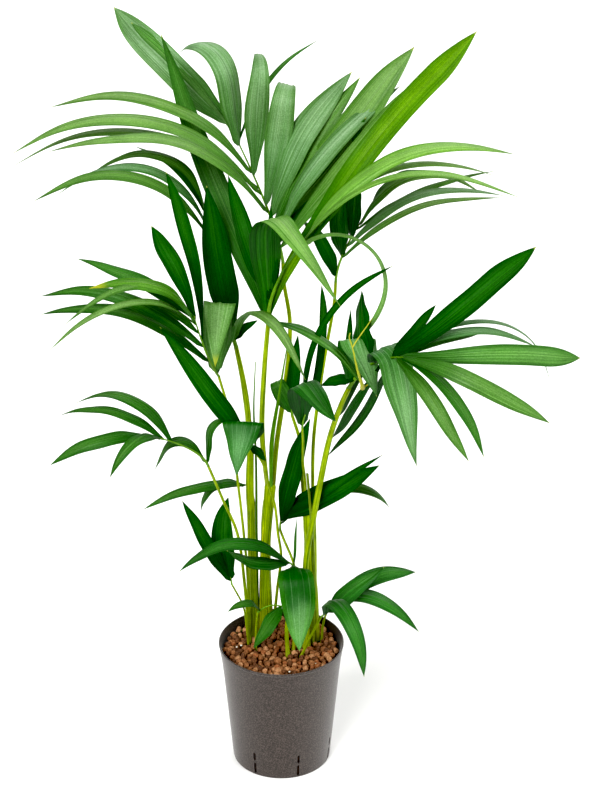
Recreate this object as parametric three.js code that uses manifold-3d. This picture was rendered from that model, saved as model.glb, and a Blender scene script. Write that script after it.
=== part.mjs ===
// A kentia palm in its culture pot: three clasping stems and several young shoots in one pot,
// every frond on its own leaf stalk. Millimetres, +Z up. The origin is the middle of the pot's
// flat underside, +X is the plant's right and -Y its front.
import * as THREE from 'three';
import { mergeVertices } from 'three/addons/utils/BufferGeometryUtils.js';
import Module from 'manifold-3d';

const wasm = await Module();
wasm.setup();

// ---- Driving dimensions -------------------------------------------------------------------

const CLEARANCE = 0.3;

const POT = {
  height: 190,
  baseRadius: 71,
  bandRadius: 85.2,
  bandHeight: 158,
  rimRadius: 90,
  wall: 1.8,
  floor: 2.4,
  edge: 1.6,
  step: 0.9,
  sides: 48,
};

// Drainage slits round the foot: two short openings one above the other, with a bridge between.
const SLITS = { count: 7, first: -83, width: 4, openings: [[3, 22], [26, 40]] };

const MEDIUM = { top: 172, sides: 48, granules: 44, granule: 4.6, rise: 2.2, keepClear: 3 };

// Leaflet blade: share of its full width at its foot, where it reaches the full width, where it
// starts to narrow, and its thickness as a share of its length.
const BLADE = { foot: 0.38, full: 0.3, narrow: 0.4, taper: 2.2, thickness: 0.0115, least: 1.1 };
const BLADE_SECTIONS = 5;
const FOLD_SECTIONS = 8;
const RIBBON_DROOP = 150;
const CURVE_STEPS = 40;

// Turns, in degrees, that a leaflet may make towards the front or the back to keep clear.
const TURNS = [0, 4, -4, 8, -8, 12, -12, 16, -16, 20, -20];

const COLOR = {
  pot: '#57504f',
  medium: '#7d4a35',
  stem: '#8aa01c',
  stalk: '#86a01e',
  spear: '#8fae33',
  frond: '#2f7d22',
  fresh: '#5f9c2c',
  deep: '#14561a',
};

// ---- Stems, leaf stalks and spears --------------------------------------------------------

// Each limb runs through a few points from its flat foot; radii go from foot to tip.
const STEMS = {
  left: { path: [[-41, 46], [-42, 38, 302], [-43, 34, 413], [-42, 32, 488]], radii: [8, 5.6, 5.2, 4.8] },
  middle: { path: [[-23, 50], [-22, 46, 330], [-15, 42, 420]], radii: [10, 6.8, 8] },
  right: { path: [[43, 38], [43, 32, 292], [40, 28, 386]], radii: [11.5, 7.6, 9.4] },
};

const STALKS = {
  top: {
    on: 'middle',
    path: [[-11.3, 45], [-5, 48, 489], [3, 50, 546], [12, 54, 625], [13, 56, 670], [5, 58, 725]],
    radii: [3.2, 3.4, 2.8, 2.3],
  },
  centre: {
    on: 'middle',
    path: [[-19, 43.5], [-25, 20, 503], [-25, 8, 549], [-20, -10, 639]],
    radii: [2.9, 3.6, 3.4, 2.8],
  },
  upper_left: { on: 'left', path: [[-42.5, 32], [-45, 30, 538], [-51, 26, 592]], radii: [4, 4.1, 2.9] },
  upper_right: {
    on: 'right',
    path: [[45, 31.5], [46, 45, 491], [55, 62, 566], [63, 74, 616], [74, 86, 681]],
    radii: [2.2, 2.4, 2.2, 2],
  },
  right: {
    path: [[36, 14], [35, 9, 251], [36, 3, 326], [45, -2, 388], [55, -8, 452], [68, -24, 531],
      [82, -42, 587]],
    radii: [4.6, 4, 4, 3.2],
  },
  left: {
    path: [[-46, 35], [-48, 24, 284], [-52, 20, 348], [-56, 16, 400], [-61, 14, 455], [-68, 8, 542]],
    radii: [2.1, 1.8, 1.8, 1.7],
  },
  low_left: { path: [[-46, 26], [-52, 6, 283], [-60, -12, 371], [-78, -45, 443]], radii: [2.4, 2, 1.8] },
  folded: {
    path: [[-13, 62], [-6, 45, 248], [0, 28, 316], [-4, 18, 356], [-8, 8, 406], [-16, -4, 444],
      [-23, -35, 494]],
    radii: [2, 1.8, 1.6],
  },
  low_back: { path: [[-36, 64], [-35, 62, 288], [-36, 60, 355]], radii: [1.9, 1.7, 1.5] },
  inner_front: { on: 'right', path: [[37.5, 24], [34, 19, 440], [31, -18, 488], [31, -45, 536]], radii: [1.9, 1.8, 1.5] },
  inner_right: { path: [[17, -2], [21, -8, 263], [19, -4, 316], [4, 20, 346]], radii: [2.2, 1.8, 1.7] },
  inner_back: { on: 'right', path: [[34.5, 30], [31, 34, 425], [27, 36, 493]], radii: [2.6, 2.6, 2] },
  shoot_left: { path: [[-47, 18], [-52, 4, 234], [-55, -4, 254]], radii: [1.6, 1.3, 1.2] },
  shoot_front: { path: [[10, -8], [8, -16, 221], [14, -28, 283]], radii: [2.9, 2.4, 2] },
  shoot_right: { path: [[27, -9], [41, -24, 210]], radii: [2, 1.8, 1.6] },
  shoot_far_right: { path: [[58, 26], [60, 8, 212]], radii: [1.8, 1.6, 1.4] },
  shoot_small: { path: [[-37, 10], [-36, 2, 207]], radii: [1.8, 1.6, 1.4] },
};

// Leaves still rolled up, and one old leaf stalk that was cut back.
const SPEARS = {
  spear_middle: { on: 'middle', path: [[-14.2, 37.6], [-12, 34, 496], [-2, 32, 564], [9, 28, 639]],
    radii: [2.4, 3.2, 2, 0.6] },
  spear_left: { path: [[-34.5, 57.5], [-35, 50, 328], [-35, 46, 462], [-37, 40, 538], [-34, 38, 614]],
    radii: [2, 1.9, 1.8, 1.5, 0.6] },
  cut_stalk_right: { path: [[46, 23], [47, 14, 300], [42, 8, 395], [37, 4, 459]], radii: [2.2, 2, 1.8] },
};

// ---- Fronds -------------------------------------------------------------------------------

// midrib: the stalk's tip, the middle and the end of the rib. Each fan is a run of leaflets; a
// list of values is spread evenly over the run.
//   at     share of the rib where the leaflet stands
//   clock  the way it sets out: 0 up, 90 to the right, seen from the front, in degrees
//   lean   turned from there towards the front, in degrees
//   reach  its length along the blade
//   droop  how far it has bent by its tip, in degrees
//   roll   how far that bend is turned from straight down to the leaflet's left
//   fold   the stretch of its length in which it bends
const FRONDS = {
  top: {
    midrib: [[4, 60, 752], [-19, 105, 817], [-70, 170, 911]],
    girth: 2.2,
    color: COLOR.fresh,
    fans: [
      { count: 4, at: [0.45, 0.58, 0.62, 0.72], clock: [-31, -36, -48, -34], lean: [17, 13, 11, 10],
        reach: [347, 397, 382, 321], droop: [76, 91, 82, 79], roll: -30, width: [28, 26, 20, 26] },
      { count: 2, at: [1, 0.95], clock: [-44, -34], lean: [7, 0], reach: [235, 207],
        droop: [51, 33], roll: [-89, -52], width: [38, 34] },
      { count: 6, at: [0.42, 0.34, 0.3, 0.24, 0.2, 0.15], clock: [13, 19, 30, 18, 33, 33],
        lean: [9, 8, 9, 14, 3, 11], reach: [233, 239, 317, 278, 216, 313],
        droop: [45, 37, 21, 48, -3, 11], roll: [77, 69], width: [44, 26, 44, 26, 24, 26] },
      { count: 1, at: 0.7, clock: 4, lean: -1, reach: 194, droop: 110, roll: 84, width: 32,
        fold: [0.6, 0.95] },
      { count: 1, at: 0.88, clock: -8, lean: 1, reach: 219, droop: 125, roll: -54, width: 34,
        fold: [0.3, 1] },
      { count: 1, at: 0.9, clock: 21, lean: -18, reach: 193, droop: 48, roll: -3, width: 10 },
      { count: 1, at: 0.5, clock: 9, lean: 2, reach: 245, droop: 150, roll: 95, width: 40,
        fold: [0.5, 0.9] },
    ],
  },
  centre: {
    midrib: [[-15, -20, 699], [-4, -35, 758], [31, -20, 812]],
    girth: 2.8,
    color: COLOR.fresh,
    fans: [
      { count: 4, at: [0.95, 0.98, 0.9, 0.86], clock: [32, 28, 31, 28], lean: [4, 14, 8, 15],
        reach: [376, 348, 325, 351], droop: [46, 89, 91, 89], roll: [72, 49, 39, 33],
        width: [36, 26, 14, 14] },
      { count: 1, at: 0.45, clock: 21, lean: 3, reach: 322, droop: 199, roll: -7, width: 9 },
      { count: 1, at: 0.06, clock: -32, lean: -50, reach: 420, droop: 46, roll: 160, width: 34 },
      { count: 2, at: [0.3, 0.45], clock: [-25, -7], lean: [-16, -20], reach: [181, 110],
        droop: [30, 10], roll: -70, width: [26, 20] },
      { count: 1, at: 0.1, clock: -1, lean: 5, reach: 340, droop: 110, roll: 40, width: 46,
        fold: [0.3, 0.6] },
      { count: 1, at: 0.02, clock: 70, lean: 46, reach: 220, droop: 82, roll: 24, width: 20 },
    ],
  },
  upper_left: {
    midrib: [[-60, 20, 646], [-82, 45, 725], [-100, 90, 813]],
    girth: 2.8,
    color: COLOR.frond,
    fans: [
      { count: 4, at: [1, 0.97, 0.9, 0.84], clock: [-22, -10, -22, -27], lean: [0, 5, 10, 14],
        reach: [138, 221, 258, 287], droop: [60, 119, 108, 95], roll: -28, width: [16, 22, 18, 20] },
      { count: 1, at: 0.12, clock: -9, lean: -3, reach: 203, droop: 18, roll: -70, width: 40 },
      { count: 1, at: 0.05, clock: 10, lean: 27, reach: 236, droop: 117, roll: 16, width: 22 },
      { count: 1, at: 0.06, clock: 29, lean: 19, reach: 46, droop: 53, roll: 70, width: 14 },
    ],
  },
  upper_right: {
    midrib: [[76, 90, 711], [89, 118, 747], [127, 170, 793]],
    girth: 1.9,
    color: COLOR.deep,
    fans: [
      { count: 1, at: 0.1, clock: -15, lean: 0, reach: 103, droop: 75, roll: -60, width: 22 },
      { count: 2, at: [0.4, 0.65], clock: [-8, 0], lean: [-40, -45], reach: [108, 96], droop: 10,
        roll: -60, width: 20 },
      { count: 5, at: [0.95, 0.8, 0.75, 0.55, 0.4], clock: [28, 25, 50, 39, 41],
        lean: [4, 11, 5, 8, 11], reach: [123, 219, 209, 250, 246], droop: [76, 108, 32, 73, 52],
        roll: [30, 37, 19, 30, 25], width: [18, 16, 12, 14, 12] },
    ],
  },
  right: {
    midrib: [[92, -60, 621], [120, -110, 679], [157, -180, 720]],
    girth: 2.8,
    color: COLOR.frond,
    fans: [
      { count: 1, at: 0.85, clock: 50, lean: 7, reach: 230, droop: 25, roll: 90, width: 38 },
      { count: 4, at: [0.8, 0.75, 0.8, 0.78], clock: [51, 55, 59, 72], lean: [-38, -3, 0, -13],
        reach: [102, 302, 216, 135], droop: [9, 106, 71, 34], roll: [60, 20, 25, 40],
        width: [20, 10, 16, 14] },
      { count: 4, at: [0.95, 1, 0.97, 0.9], clock: [65, 77, 86, 103], lean: [40, 50, 51, 67],
        reach: [257, 228, 184, 180], droop: [83, 83, 67, 67], roll: [70, 50, 6, 26],
        width: [30, 24, 22, 24] },
      { count: 1, at: 0.62, clock: 34, lean: 42, reach: 217, droop: 77, roll: -20, width: 40,
        fold: [0.08, 0.4] },
      { count: 1, at: 0.12, clock: -2, lean: 8, reach: 172, droop: 128, roll: 38, width: 34,
        fold: [0.3, 0.5] },
      { count: 3, at: [0.5, 0.35, 0.1], clock: [-175, -174, -170], lean: [-18, -23, -23],
        reach: [230, 179, 107], droop: [-31, -22, -4], roll: -30, width: [20, 20, 14] },
      { count: 1, at: 0.15, clock: -88, lean: -3, reach: 51, droop: 48, roll: -30, width: 18 },
      { count: 2, at: [0.4, 0.1], clock: [-17, -9], lean: [-40, -12], reach: [108, 96],
        droop: 24, roll: -70, width: [28, 10] },
    ],
  },
  left: {
    midrib: [[-83, 0, 610], [-97, -35, 659], [-111, -70, 729]],
    girth: 1.8,
    color: COLOR.frond,
    fans: [
      { count: 4, at: [1, 0.95, 0.62, 0.36], clock: [-46, -23, -43, -44], lean: [7, 21, 9, 9],
        reach: [173, 171, 255, 270], droop: [42, 79, 77, 80], roll: -40, width: [24, 24, 24, 22] },
      { count: 3, at: [0.9, 0.9, 0.8], clock: [-24, -36, -42], lean: [19, 28, 0],
        reach: [221, 241, 81], droop: [101, 91, 35], roll: -20, width: [14, 12, 14] },
      { count: 3, at: [0.95, 0.7, 0.06], clock: [-14, -3, 14], lean: [3, -21, 16],
        reach: [143, 228, 91], droop: [54, -19, -7], roll: [-75, -75, 70], width: [30, 24, 18] },
      { count: 1, at: 0.15, clock: 7, lean: -5, reach: 214, droop: 127, roll: -126, width: 40,
        fold: [0.3, 0.65] },
    ],
  },
  low_left: {
    midrib: [[-96, -80, 515], [-118, -110, 555], [-166, -160, 600]],
    girth: 1.8,
    color: COLOR.frond,
    fans: [
      { count: 4, at: [0.75, 0.85, 1, 0.9], clock: [-23, -45, -80, -31], lean: [7, 6, 18, 45],
        reach: [172, 163, 143, 115], droop: [107, 83, 56, 111], roll: [-40, -20],
        width: [22, 16, 20, 18] },
      { count: 1, at: 0.12, clock: -24, lean: 12, reach: 118, droop: 138, roll: -30, width: 20,
        fold: [0.1, 0.8] },
      { count: 1, at: 0.08, clock: 4, lean: 3, reach: 118, droop: 137, roll: 75, width: 17,
        fold: [0.3, 0.8] },
    ],
  },
  folded: {
    midrib: [[-40, -80, 545], [-43, -84, 553], [-47, -90, 563]],
    girth: 1.6,
    color: COLOR.deep,
    fans: [
      { count: 1, at: 0.3, clock: -2, lean: 3, reach: 126, droop: 175, roll: -7, width: 50,
        fold: [0.22, 0.5] },
      { count: 1, at: 0.1, clock: 107, lean: 22, reach: 32, droop: 45, roll: -7, width: 18 },
      { count: 1, at: 0.6, clock: -32, lean: 2, reach: 194, droop: 22, roll: -70, width: 26 },
    ],
  },
  low_back: {
    midrib: [[-41, 55, 410], [-48, 58, 412], [-55, 62, 412]],
    girth: 1.5,
    color: COLOR.deep,
    fans: [
      { count: 2, at: [0.9, 0.7], clock: [-71, -60], lean: [28, 20], reach: [155, 96],
        droop: [55, 117], roll: [-30, -13], width: [16, 20] },
    ],
  },
  inner_front: {
    midrib: [[30, -60, 561], [31, -65, 573], [34, -72, 587]],
    girth: 1.5,
    color: COLOR.deep,
    fans: [
      { count: 1, at: 0.3, clock: -4, lean: 5, reach: 155, droop: 110, roll: 70, width: 38,
        fold: [0.3, 0.6] },
      { count: 1, at: 0.3, clock: 2, lean: 3, reach: 280, droop: 55, roll: 45, width: 10,
        fold: [0.1, 1] },
      { count: 1, at: 0.2, clock: 19, lean: -6, reach: 194, droop: 33, roll: 112, width: 9 },
    ],
  },
  inner_right: {
    midrib: [[-1, 30, 355], [-1, 33, 364], [1, 37, 374]],
    girth: 1.7,
    color: COLOR.deep,
    fans: [
      { count: 1, at: 0.7, clock: 8, lean: 4, reach: 174, droop: 20, roll: 80, width: 30 },
      { count: 2, at: [0.9, 0.95], clock: [49, 43], lean: 26, reach: [186, 192],
        droop: [12, 20], roll: 90, width: [34, 14] },
      { count: 1, at: 0.5, clock: 35, lean: 5, reach: 200, droop: 110, roll: 30, width: 18 },
    ],
  },
  inner_back: {
    midrib: [[16, 40, 532], [15, 42, 542], [13, 45, 553]],
    girth: 1.9,
    color: COLOR.deep,
    fans: [
      { count: 1, at: 0.6, clock: 3, lean: 0, reach: 104, droop: 29, roll: 80, width: 18 },
      { count: 1, at: 0.2, clock: -24, lean: -4, reach: 72, droop: 150, roll: -70, width: 26,
        fold: [0.5, 0.9] },
    ],
  },
  shoot_left: {
    midrib: [[-69, -25, 299], [-70, -24, 306], [-71, -22, 313]],
    girth: 1.3,
    color: COLOR.deep,
    fans: [
      { count: 2, at: [0.4, 0.6], clock: [-29, -20], lean: [0, -14], reach: [152, 118],
        droop: [-14, 40], roll: [-60, -112], width: [20, 34] },
    ],
  },
  shoot_front: {
    midrib: [[19, -35, 329], [16, -38, 338], [10, -42, 345]],
    girth: 1.8,
    color: COLOR.frond,
    fans: [
      { count: 2, at: [0.8, 0.9], clock: [-39, -84], lean: [20, 17], reach: [191, 111],
        droop: [105, -46], roll: -30, width: 22 },
      { count: 1, at: 0.4, clock: 15, lean: 60, reach: 150, droop: 110, roll: 0, width: 46,
        fold: [0, 0.5] },
      { count: 1, at: 0.2, clock: 4, lean: -3, reach: 73, droop: 10, roll: 60, width: 4 },
    ],
  },
  shoot_right: {
    midrib: [[56, -50, 260], [61, -52, 266], [66, -55, 273]],
    girth: 1.5,
    color: COLOR.frond,
    fans: [
      { count: 2, at: [0.9, 0.6], clock: [35, 4], lean: [16, 30], reach: [111, 209],
        droop: [34, 162], roll: [70, 20], width: [28, 26] },
    ],
  },
  shoot_far_right: {
    midrib: [[64, -20, 247], [71, -22, 261], [79, -24, 273]],
    girth: 1.4,
    color: COLOR.frond,
    fans: [
      { count: 2, at: [0.9, 0.6], clock: [40, 32], lean: [14, 31], reach: [143, 167],
        droop: [92, 105], roll: [54, 27], width: 26 },
    ],
  },
  shoot_small: {
    midrib: [[-33, -10, 244], [-17, -6, 252], [1, -2, 249]],
    girth: 1.3,
    color: COLOR.frond,
    fans: [
      { count: 2, at: [0.1, 0.95], clock: [-21, -137], lean: [21, 37], reach: [62, 72],
        droop: [106, 5], roll: [-30, 0], width: [14, 22] },
    ],
  },
};

// ---- Making solids ------------------------------------------------------------------------

const UP = new THREE.Vector3(0, 0, 1);
const RIGHT = new THREE.Vector3(1, 0, 0);
const radians = THREE.MathUtils.degToRad;
const smooth = (x) => THREE.MathUtils.smoothstep(x, 0, 1);
const vector = (p) => new THREE.Vector3(...p);

// A closed mesh becomes a manifold solid once its shared corners are merged.
function solidOf(geometry) {
  const bare = geometry.clone();
  bare.deleteAttribute('normal');
  bare.deleteAttribute('uv');
  const merged = mergeVertices(bare, 1e-3);
  return new wasm.Manifold(new wasm.Mesh({
    numProp: 3,
    vertProperties: new Float32Array(merged.attributes.position.array),
    triVerts: new Uint32Array(merged.index.array),
  }));
}

function geometryOf(solid) {
  const mesh = solid.getMesh();
  const geometry = new THREE.BufferGeometry();
  geometry.setAttribute('position', new THREE.Float32BufferAttribute(mesh.vertProperties, 3));
  geometry.setIndex(Array.from(mesh.triVerts));
  geometry.computeVertexNormals();
  return geometry;
}

// Rings of equal count become one closed skin; a ring of a single point closes to a tip.
function skin(rings) {
  const positions = rings.flat().flatMap((p) => [p.x, p.y, p.z]);
  const triangles = [];
  const starts = rings.map((_, i) => rings.slice(0, i).reduce((sum, ring) => sum + ring.length, 0));
  for (let i = 0; i < rings.length - 1; i += 1) {
    const n = rings[i].length;
    for (let j = 0; j < n; j += 1) {
      const k = (j + 1) % n;
      const [a, b] = [starts[i] + j, starts[i] + k];
      if (rings[i + 1].length === 1) {
        triangles.push(a, b, starts[i + 1]);
      } else {
        triangles.push(a, b, starts[i + 1] + k, a, starts[i + 1] + k, starts[i + 1] + j);
      }
    }
  }
  for (let j = 1; j < rings[0].length - 1; j += 1) {
    triangles.push(starts[0], starts[0] + j + 1, starts[0] + j);
  }
  const last = rings[rings.length - 1];
  const first = starts[rings.length - 1];
  for (let j = 1; j < last.length - 1; j += 1) {
    triangles.push(first, first + j, first + j + 1);
  }
  const geometry = new THREE.BufferGeometry();
  geometry.setAttribute('position', new THREE.Float32BufferAttribute(positions, 3));
  geometry.setIndex(triangles);
  return geometry;
}

// The value at a share of a run: a plain number, or a list spread evenly over the run.
function spread(values, share) {
  if (!Array.isArray(values)) return values;
  const place = share * (values.length - 1);
  const low = Math.min(Math.floor(place), values.length - 2);
  return THREE.MathUtils.lerp(values[low], values[low + 1], place - low);
}

// A tapering limb of round section. Its foot is cut level and its far end square to `end`.
function limb(points, radii, { sides = 7, spacing = 30, end = null }) {
  const curve = new THREE.CatmullRomCurve3(points);
  const count = Math.max(3, Math.round(curve.getLength() / spacing));
  const rings = [];
  const across = new THREE.Vector3(1, 0, 0);
  for (let i = 0; i <= count; i += 1) {
    const share = i / count;
    const centre = curve.getPointAt(share);
    let along = curve.getTangentAt(share);
    if (i === 0) along = UP.clone();
    if (i === count && end) along = end.clone();
    across.addScaledVector(along, -across.dot(along)).normalize();
    const over = new THREE.Vector3().crossVectors(along, across);
    const radius = spread(radii, share);
    const ring = [];
    for (let j = 0; j < sides; j += 1) {
      const angle = (2 * Math.PI * j) / sides;
      ring.push(centre.clone()
        .addScaledVector(across, radius * Math.cos(angle))
        .addScaledVector(over, radius * Math.sin(angle)));
    }
    rings.push(ring);
  }
  return skin(rings);
}

// ---- Leaflets -----------------------------------------------------------------------------

// The blade's centre line: it sets out along `out` and bends in one plane, towards `sag`. A turn
// tips the whole blade towards the front.
function bladeLine(base, leaf, turn) {
  const clock = radians(leaf.clock);
  const lean = radians(leaf.lean);
  const out = new THREE.Vector3(
    Math.sin(clock) * Math.cos(lean), -Math.sin(lean), Math.cos(clock) * Math.cos(lean));
  const down = UP.clone().negate().addScaledVector(out, out.z).normalize();
  const left = new THREE.Vector3().crossVectors(out, down);
  const roll = radians(leaf.roll);
  const sag = down.multiplyScalar(Math.cos(roll)).addScaledVector(left, Math.sin(roll));
  out.applyAxisAngle(RIGHT, radians(turn));
  sag.applyAxisAngle(RIGHT, radians(turn));
  const across = new THREE.Vector3().crossVectors(out, sag);
  const points = [base.clone()];
  const headings = [out.clone()];
  const step = leaf.reach / CURVE_STEPS;
  const [from, to] = leaf.fold;
  for (let i = 0; i < CURVE_STEPS; i += 1) {
    const bent = (share) => radians(leaf.droop) * smooth((share - from) / (to - from));
    const middle = bent((i + 0.5) / CURVE_STEPS);
    const heading = out.clone().multiplyScalar(Math.cos(middle)).addScaledVector(sag, Math.sin(middle));
    points.push(points[i].clone().addScaledVector(heading, step));
    const here = bent((i + 1) / CURVE_STEPS);
    headings.push(out.clone().multiplyScalar(Math.cos(here)).addScaledVector(sag, Math.sin(here)));
  }
  return { points, headings, across };
}

// The blade's half width, as a share of its full half width.
function bladeWidth(share) {
  const rise = BLADE.foot + (1 - BLADE.foot) * smooth(share / BLADE.full);
  const narrowing = Math.max(0, (share - BLADE.narrow) / (1 - BLADE.narrow));
  return rise * (1 - narrowing ** BLADE.taper);
}

// Sections stand closer together where the blade bends, and a blade that droops past
// RIBBON_DROOP has more of them.
function sectionSteps(leaf) {
  const folded = leaf.fold[1] - leaf.fold[0] < 0.5;
  const count = folded || leaf.droop > RIBBON_DROOP ? FOLD_SECTIONS : BLADE_SECTIONS;
  const bend = folded ? 0.55 : 0;
  const measure = (i) => {
    const share = i / CURVE_STEPS;
    const turned = smooth((share - leaf.fold[0]) / (leaf.fold[1] - leaf.fold[0]));
    return (1 - bend) * share + bend * turned;
  };
  const steps = [];
  let i = 0;
  for (let k = 0; k < count; k += 1) {
    while (measure(i) < (k / count) - 1e-9) i += 1;
    if (steps[steps.length - 1] !== i) steps.push(i);
  }
  return steps;
}

// A leaflet as a flat diamond section run along its centre line, `extra` thicker all round.
function leaflet(base, leaf, turn, extra = 0) {
  const { points, headings, across } = bladeLine(base, leaf, turn);
  const thickness = Math.max(BLADE.least, BLADE.thickness * leaf.reach);
  const rings = sectionSteps(leaf).map((i) => {
    const share = i / CURVE_STEPS;
    const width = bladeWidth(share);
    const half = (width * leaf.width) / 2 + extra;
    const rise = (thickness / 2) * Math.sqrt(width) + extra;
    const face = new THREE.Vector3().crossVectors(headings[i], across);
    return [[half, 0], [0, rise], [-half, 0], [0, -rise]].map(([sideways, upward]) => points[i].clone()
      .addScaledVector(across, sideways)
      .addScaledVector(face, upward));
  });
  rings.push([points[CURVE_STEPS].clone()]);
  return skin(rings);
}

// Every leaflet of a frond, one record each.
function leafletsOf(frond) {
  const rib = ribOf(frond);
  return frond.fans.flatMap((fan) => Array.from({ length: fan.count }, (_, i) => {
    const share = fan.count > 1 ? i / (fan.count - 1) : 0;
    const value = (key) => spread(fan[key], share);
    return {
      base: rib.getPoint(value('at')),
      clock: value('clock'),
      lean: value('lean'),
      reach: value('reach'),
      droop: value('droop'),
      roll: value('roll'),
      width: value('width'),
      fold: fan.fold ?? [0, 1],
    };
  }));
}

function ribOf({ midrib }) {
  const [hub, middle, end] = midrib.map(vector);
  const pull = middle.clone().multiplyScalar(2).addScaledVector(hub, -0.5).addScaledVector(end, -0.5);
  return new THREE.QuadraticBezierCurve3(hub, pull, end);
}

// ---- Pot and growing medium ---------------------------------------------------------------

function lathe(profile, sides) {
  const geometry = new THREE.LatheGeometry(profile.map(([r, z]) => new THREE.Vector2(r, z)), sides);
  return solidOf(geometry.rotateX(Math.PI / 2));
}

// The inner face of the wall, straight from the foot to the rim.
function innerRadius(z) {
  const { baseRadius, bandRadius, bandHeight, wall } = POT;
  return baseRadius + ((bandRadius - baseRadius) * z) / bandHeight - wall;
}

function potSolid() {
  const { height, baseRadius, bandRadius, bandHeight, rimRadius, wall, floor, edge, step, sides } = POT;
  let shell = lathe([
    [0, 0],
    [baseRadius - edge, 0],
    [baseRadius, edge],
    [bandRadius, bandHeight],
    [bandRadius + step, bandHeight + step],
    [rimRadius - step, height - 4],
    [rimRadius, height - 3],
    [rimRadius, height - 0.8],
    [rimRadius - wall / 2, height],
    [rimRadius - wall, height - 0.6],
    [innerRadius(height - 6), height - 6],
    [innerRadius(floor), floor],
    [0, floor],
  ], sides);
  for (let i = 0; i < SLITS.count; i += 1) {
    const angle = radians(SLITS.first + (360 * i) / SLITS.count);
    for (const [low, high] of SLITS.openings) {
      const cutter = new THREE.BoxGeometry(SLITS.width, 12, high - low);
      cutter.translate(0, -innerRadius((low + high) / 2), (low + high) / 2);
      cutter.rotateZ(angle);
      shell = shell.subtract(solidOf(cutter));
    }
  }
  return shell;
}

// The packed granules: one body that fills the pot, with some of them proud of its top.
function mediumSolid(feet) {
  const { top, sides, granules, granule, rise, keepClear } = MEDIUM;
  const gap = CLEARANCE;
  const bottom = POT.floor + gap;
  let body = lathe([
    [0, bottom],
    [innerRadius(bottom) - gap, bottom],
    [innerRadius(top) - gap, top],
    [0, top],
  ], sides);
  const spacing = (innerRadius(top) - granule - 3) / Math.sqrt(granules);
  for (let i = 0; i < granules; i += 1) {
    const angle = i * Math.PI * (3 - Math.sqrt(5));
    const distance = spacing * Math.sqrt(i + 0.5);
    const place = new THREE.Vector3(distance * Math.cos(angle), distance * Math.sin(angle), top);
    const free = feet.every(([x, y, radius]) => Math.hypot(x - place.x, y - place.y)
      > radius + granule + keepClear);
    if (free) {
      const lump = new THREE.IcosahedronGeometry(granule, 0);
      lump.rotateZ(i);
      lump.rotateX(i * 0.7);
      lump.translate(place.x, place.y, place.z + rise - granule / 2);
      body = body.add(solidOf(lump));
    }
  }
  return body;
}

// ---- Assembly -----------------------------------------------------------------------------

const solids = new Map();

function tipOf(name) {
  const { midrib } = FRONDS[name];
  const rib = ribOf({ midrib });
  const end = rib.getTangent(0);
  return { point: rib.getPoint(0).addScaledVector(end, -CLEARANCE), end };
}

function standing(path, floorHeight, tip) {
  const [[x, y], ...rest] = path;
  const points = [new THREE.Vector3(x, y, floorHeight + CLEARANCE), ...rest.map(vector)];
  if (tip) points.push(tip.point);
  return points;
}

function topOf(stem) {
  const { path } = STEMS[stem];
  return path[path.length - 1][2];
}

const onMedium = [...Object.values(STEMS), ...Object.values(STALKS), ...Object.values(SPEARS)]
  .filter((piece) => !piece.on)
  .map(({ path, radii }) => [path[0][0], path[0][1], radii[0]]);

solids.set('pot', { solid: potSolid(), color: COLOR.pot, roughness: 0.7 });
solids.set('growing_medium', { solid: mediumSolid(onMedium), color: COLOR.medium, roughness: 0.95 });

for (const [name, { path, radii }] of Object.entries(STEMS)) {
  const shape = limb(standing(path, MEDIUM.top), radii, { sides: 10, end: UP });
  solids.set(`stem_${name}`, { solid: solidOf(shape), color: COLOR.stem, roughness: 0.5 });
}
for (const [name, { on, path, radii }] of Object.entries(STALKS)) {
  const tip = tipOf(name);
  const floorHeight = on ? topOf(on) : MEDIUM.top;
  const shape = limb(standing(path, floorHeight, tip), radii, { end: tip.end });
  solids.set(`stalk_${name}`, { solid: solidOf(shape), color: COLOR.stalk, roughness: 0.45 });
}
for (const [name, { on, path, radii }] of Object.entries(SPEARS)) {
  const floorHeight = on ? topOf(on) : MEDIUM.top;
  const shape = limb(standing(path, floorHeight), radii, { sides: 6 });
  solids.set(name, { solid: solidOf(shape), color: COLOR.spear, roughness: 0.5 });
}

// The ribs of all fronds are in place before the first leaflet is tried.
const ribs = new Map();
for (const [name, frond] of Object.entries(FRONDS)) {
  const curve = ribOf(frond);
  const points = [0, 0.25, 0.5, 0.75, 1].map((share) => curve.getPoint(share));
  const rings = points.map((point, i) => {
    const along = curve.getTangent(i / 4);
    const across = new THREE.Vector3(0, 1, 0).addScaledVector(along, -along.y).normalize();
    const over = new THREE.Vector3().crossVectors(along, across);
    const radius = THREE.MathUtils.lerp(frond.girth, 0.9, i / 4);
    return [0, 1, 2, 3, 4, 5].map((j) => point.clone()
      .addScaledVector(across, radius * Math.cos((Math.PI * j) / 3))
      .addScaledVector(over, radius * Math.sin((Math.PI * j) / 3)));
  });
  ribs.set(name, solidOf(skin(rings)));
}

function boxesMeet(a, b) {
  const [p, q] = [a.boundingBox(), b.boundingBox()];
  return [0, 1, 2].every((k) => p.min[k] < q.max[k] && q.min[k] < p.max[k]);
}

const touches = (a, b) => boxesMeet(a, b) && a.intersect(b).volume() > 0;

for (const [name, frond] of Object.entries(FRONDS)) {
  const others = [...solids.values()].map(({ solid }) => solid);
  others.push(...[...ribs].filter(([key]) => key !== name).map(([, rib]) => rib));
  let blade = ribs.get(name);
  for (const leaf of leafletsOf(frond)) {
    const turn = TURNS.find((angle) => {
      const room = solidOf(leaflet(leaf.base, leaf, angle, CLEARANCE));
      return !others.some((other) => touches(room, other));
    });
    if (turn !== undefined) blade = blade.add(solidOf(leaflet(leaf.base, leaf, turn)));
  }
  ribs.set(name, blade);
  solids.set(`frond_${name}`, { solid: blade, color: frond.color, roughness: 0.4 });
}

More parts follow.
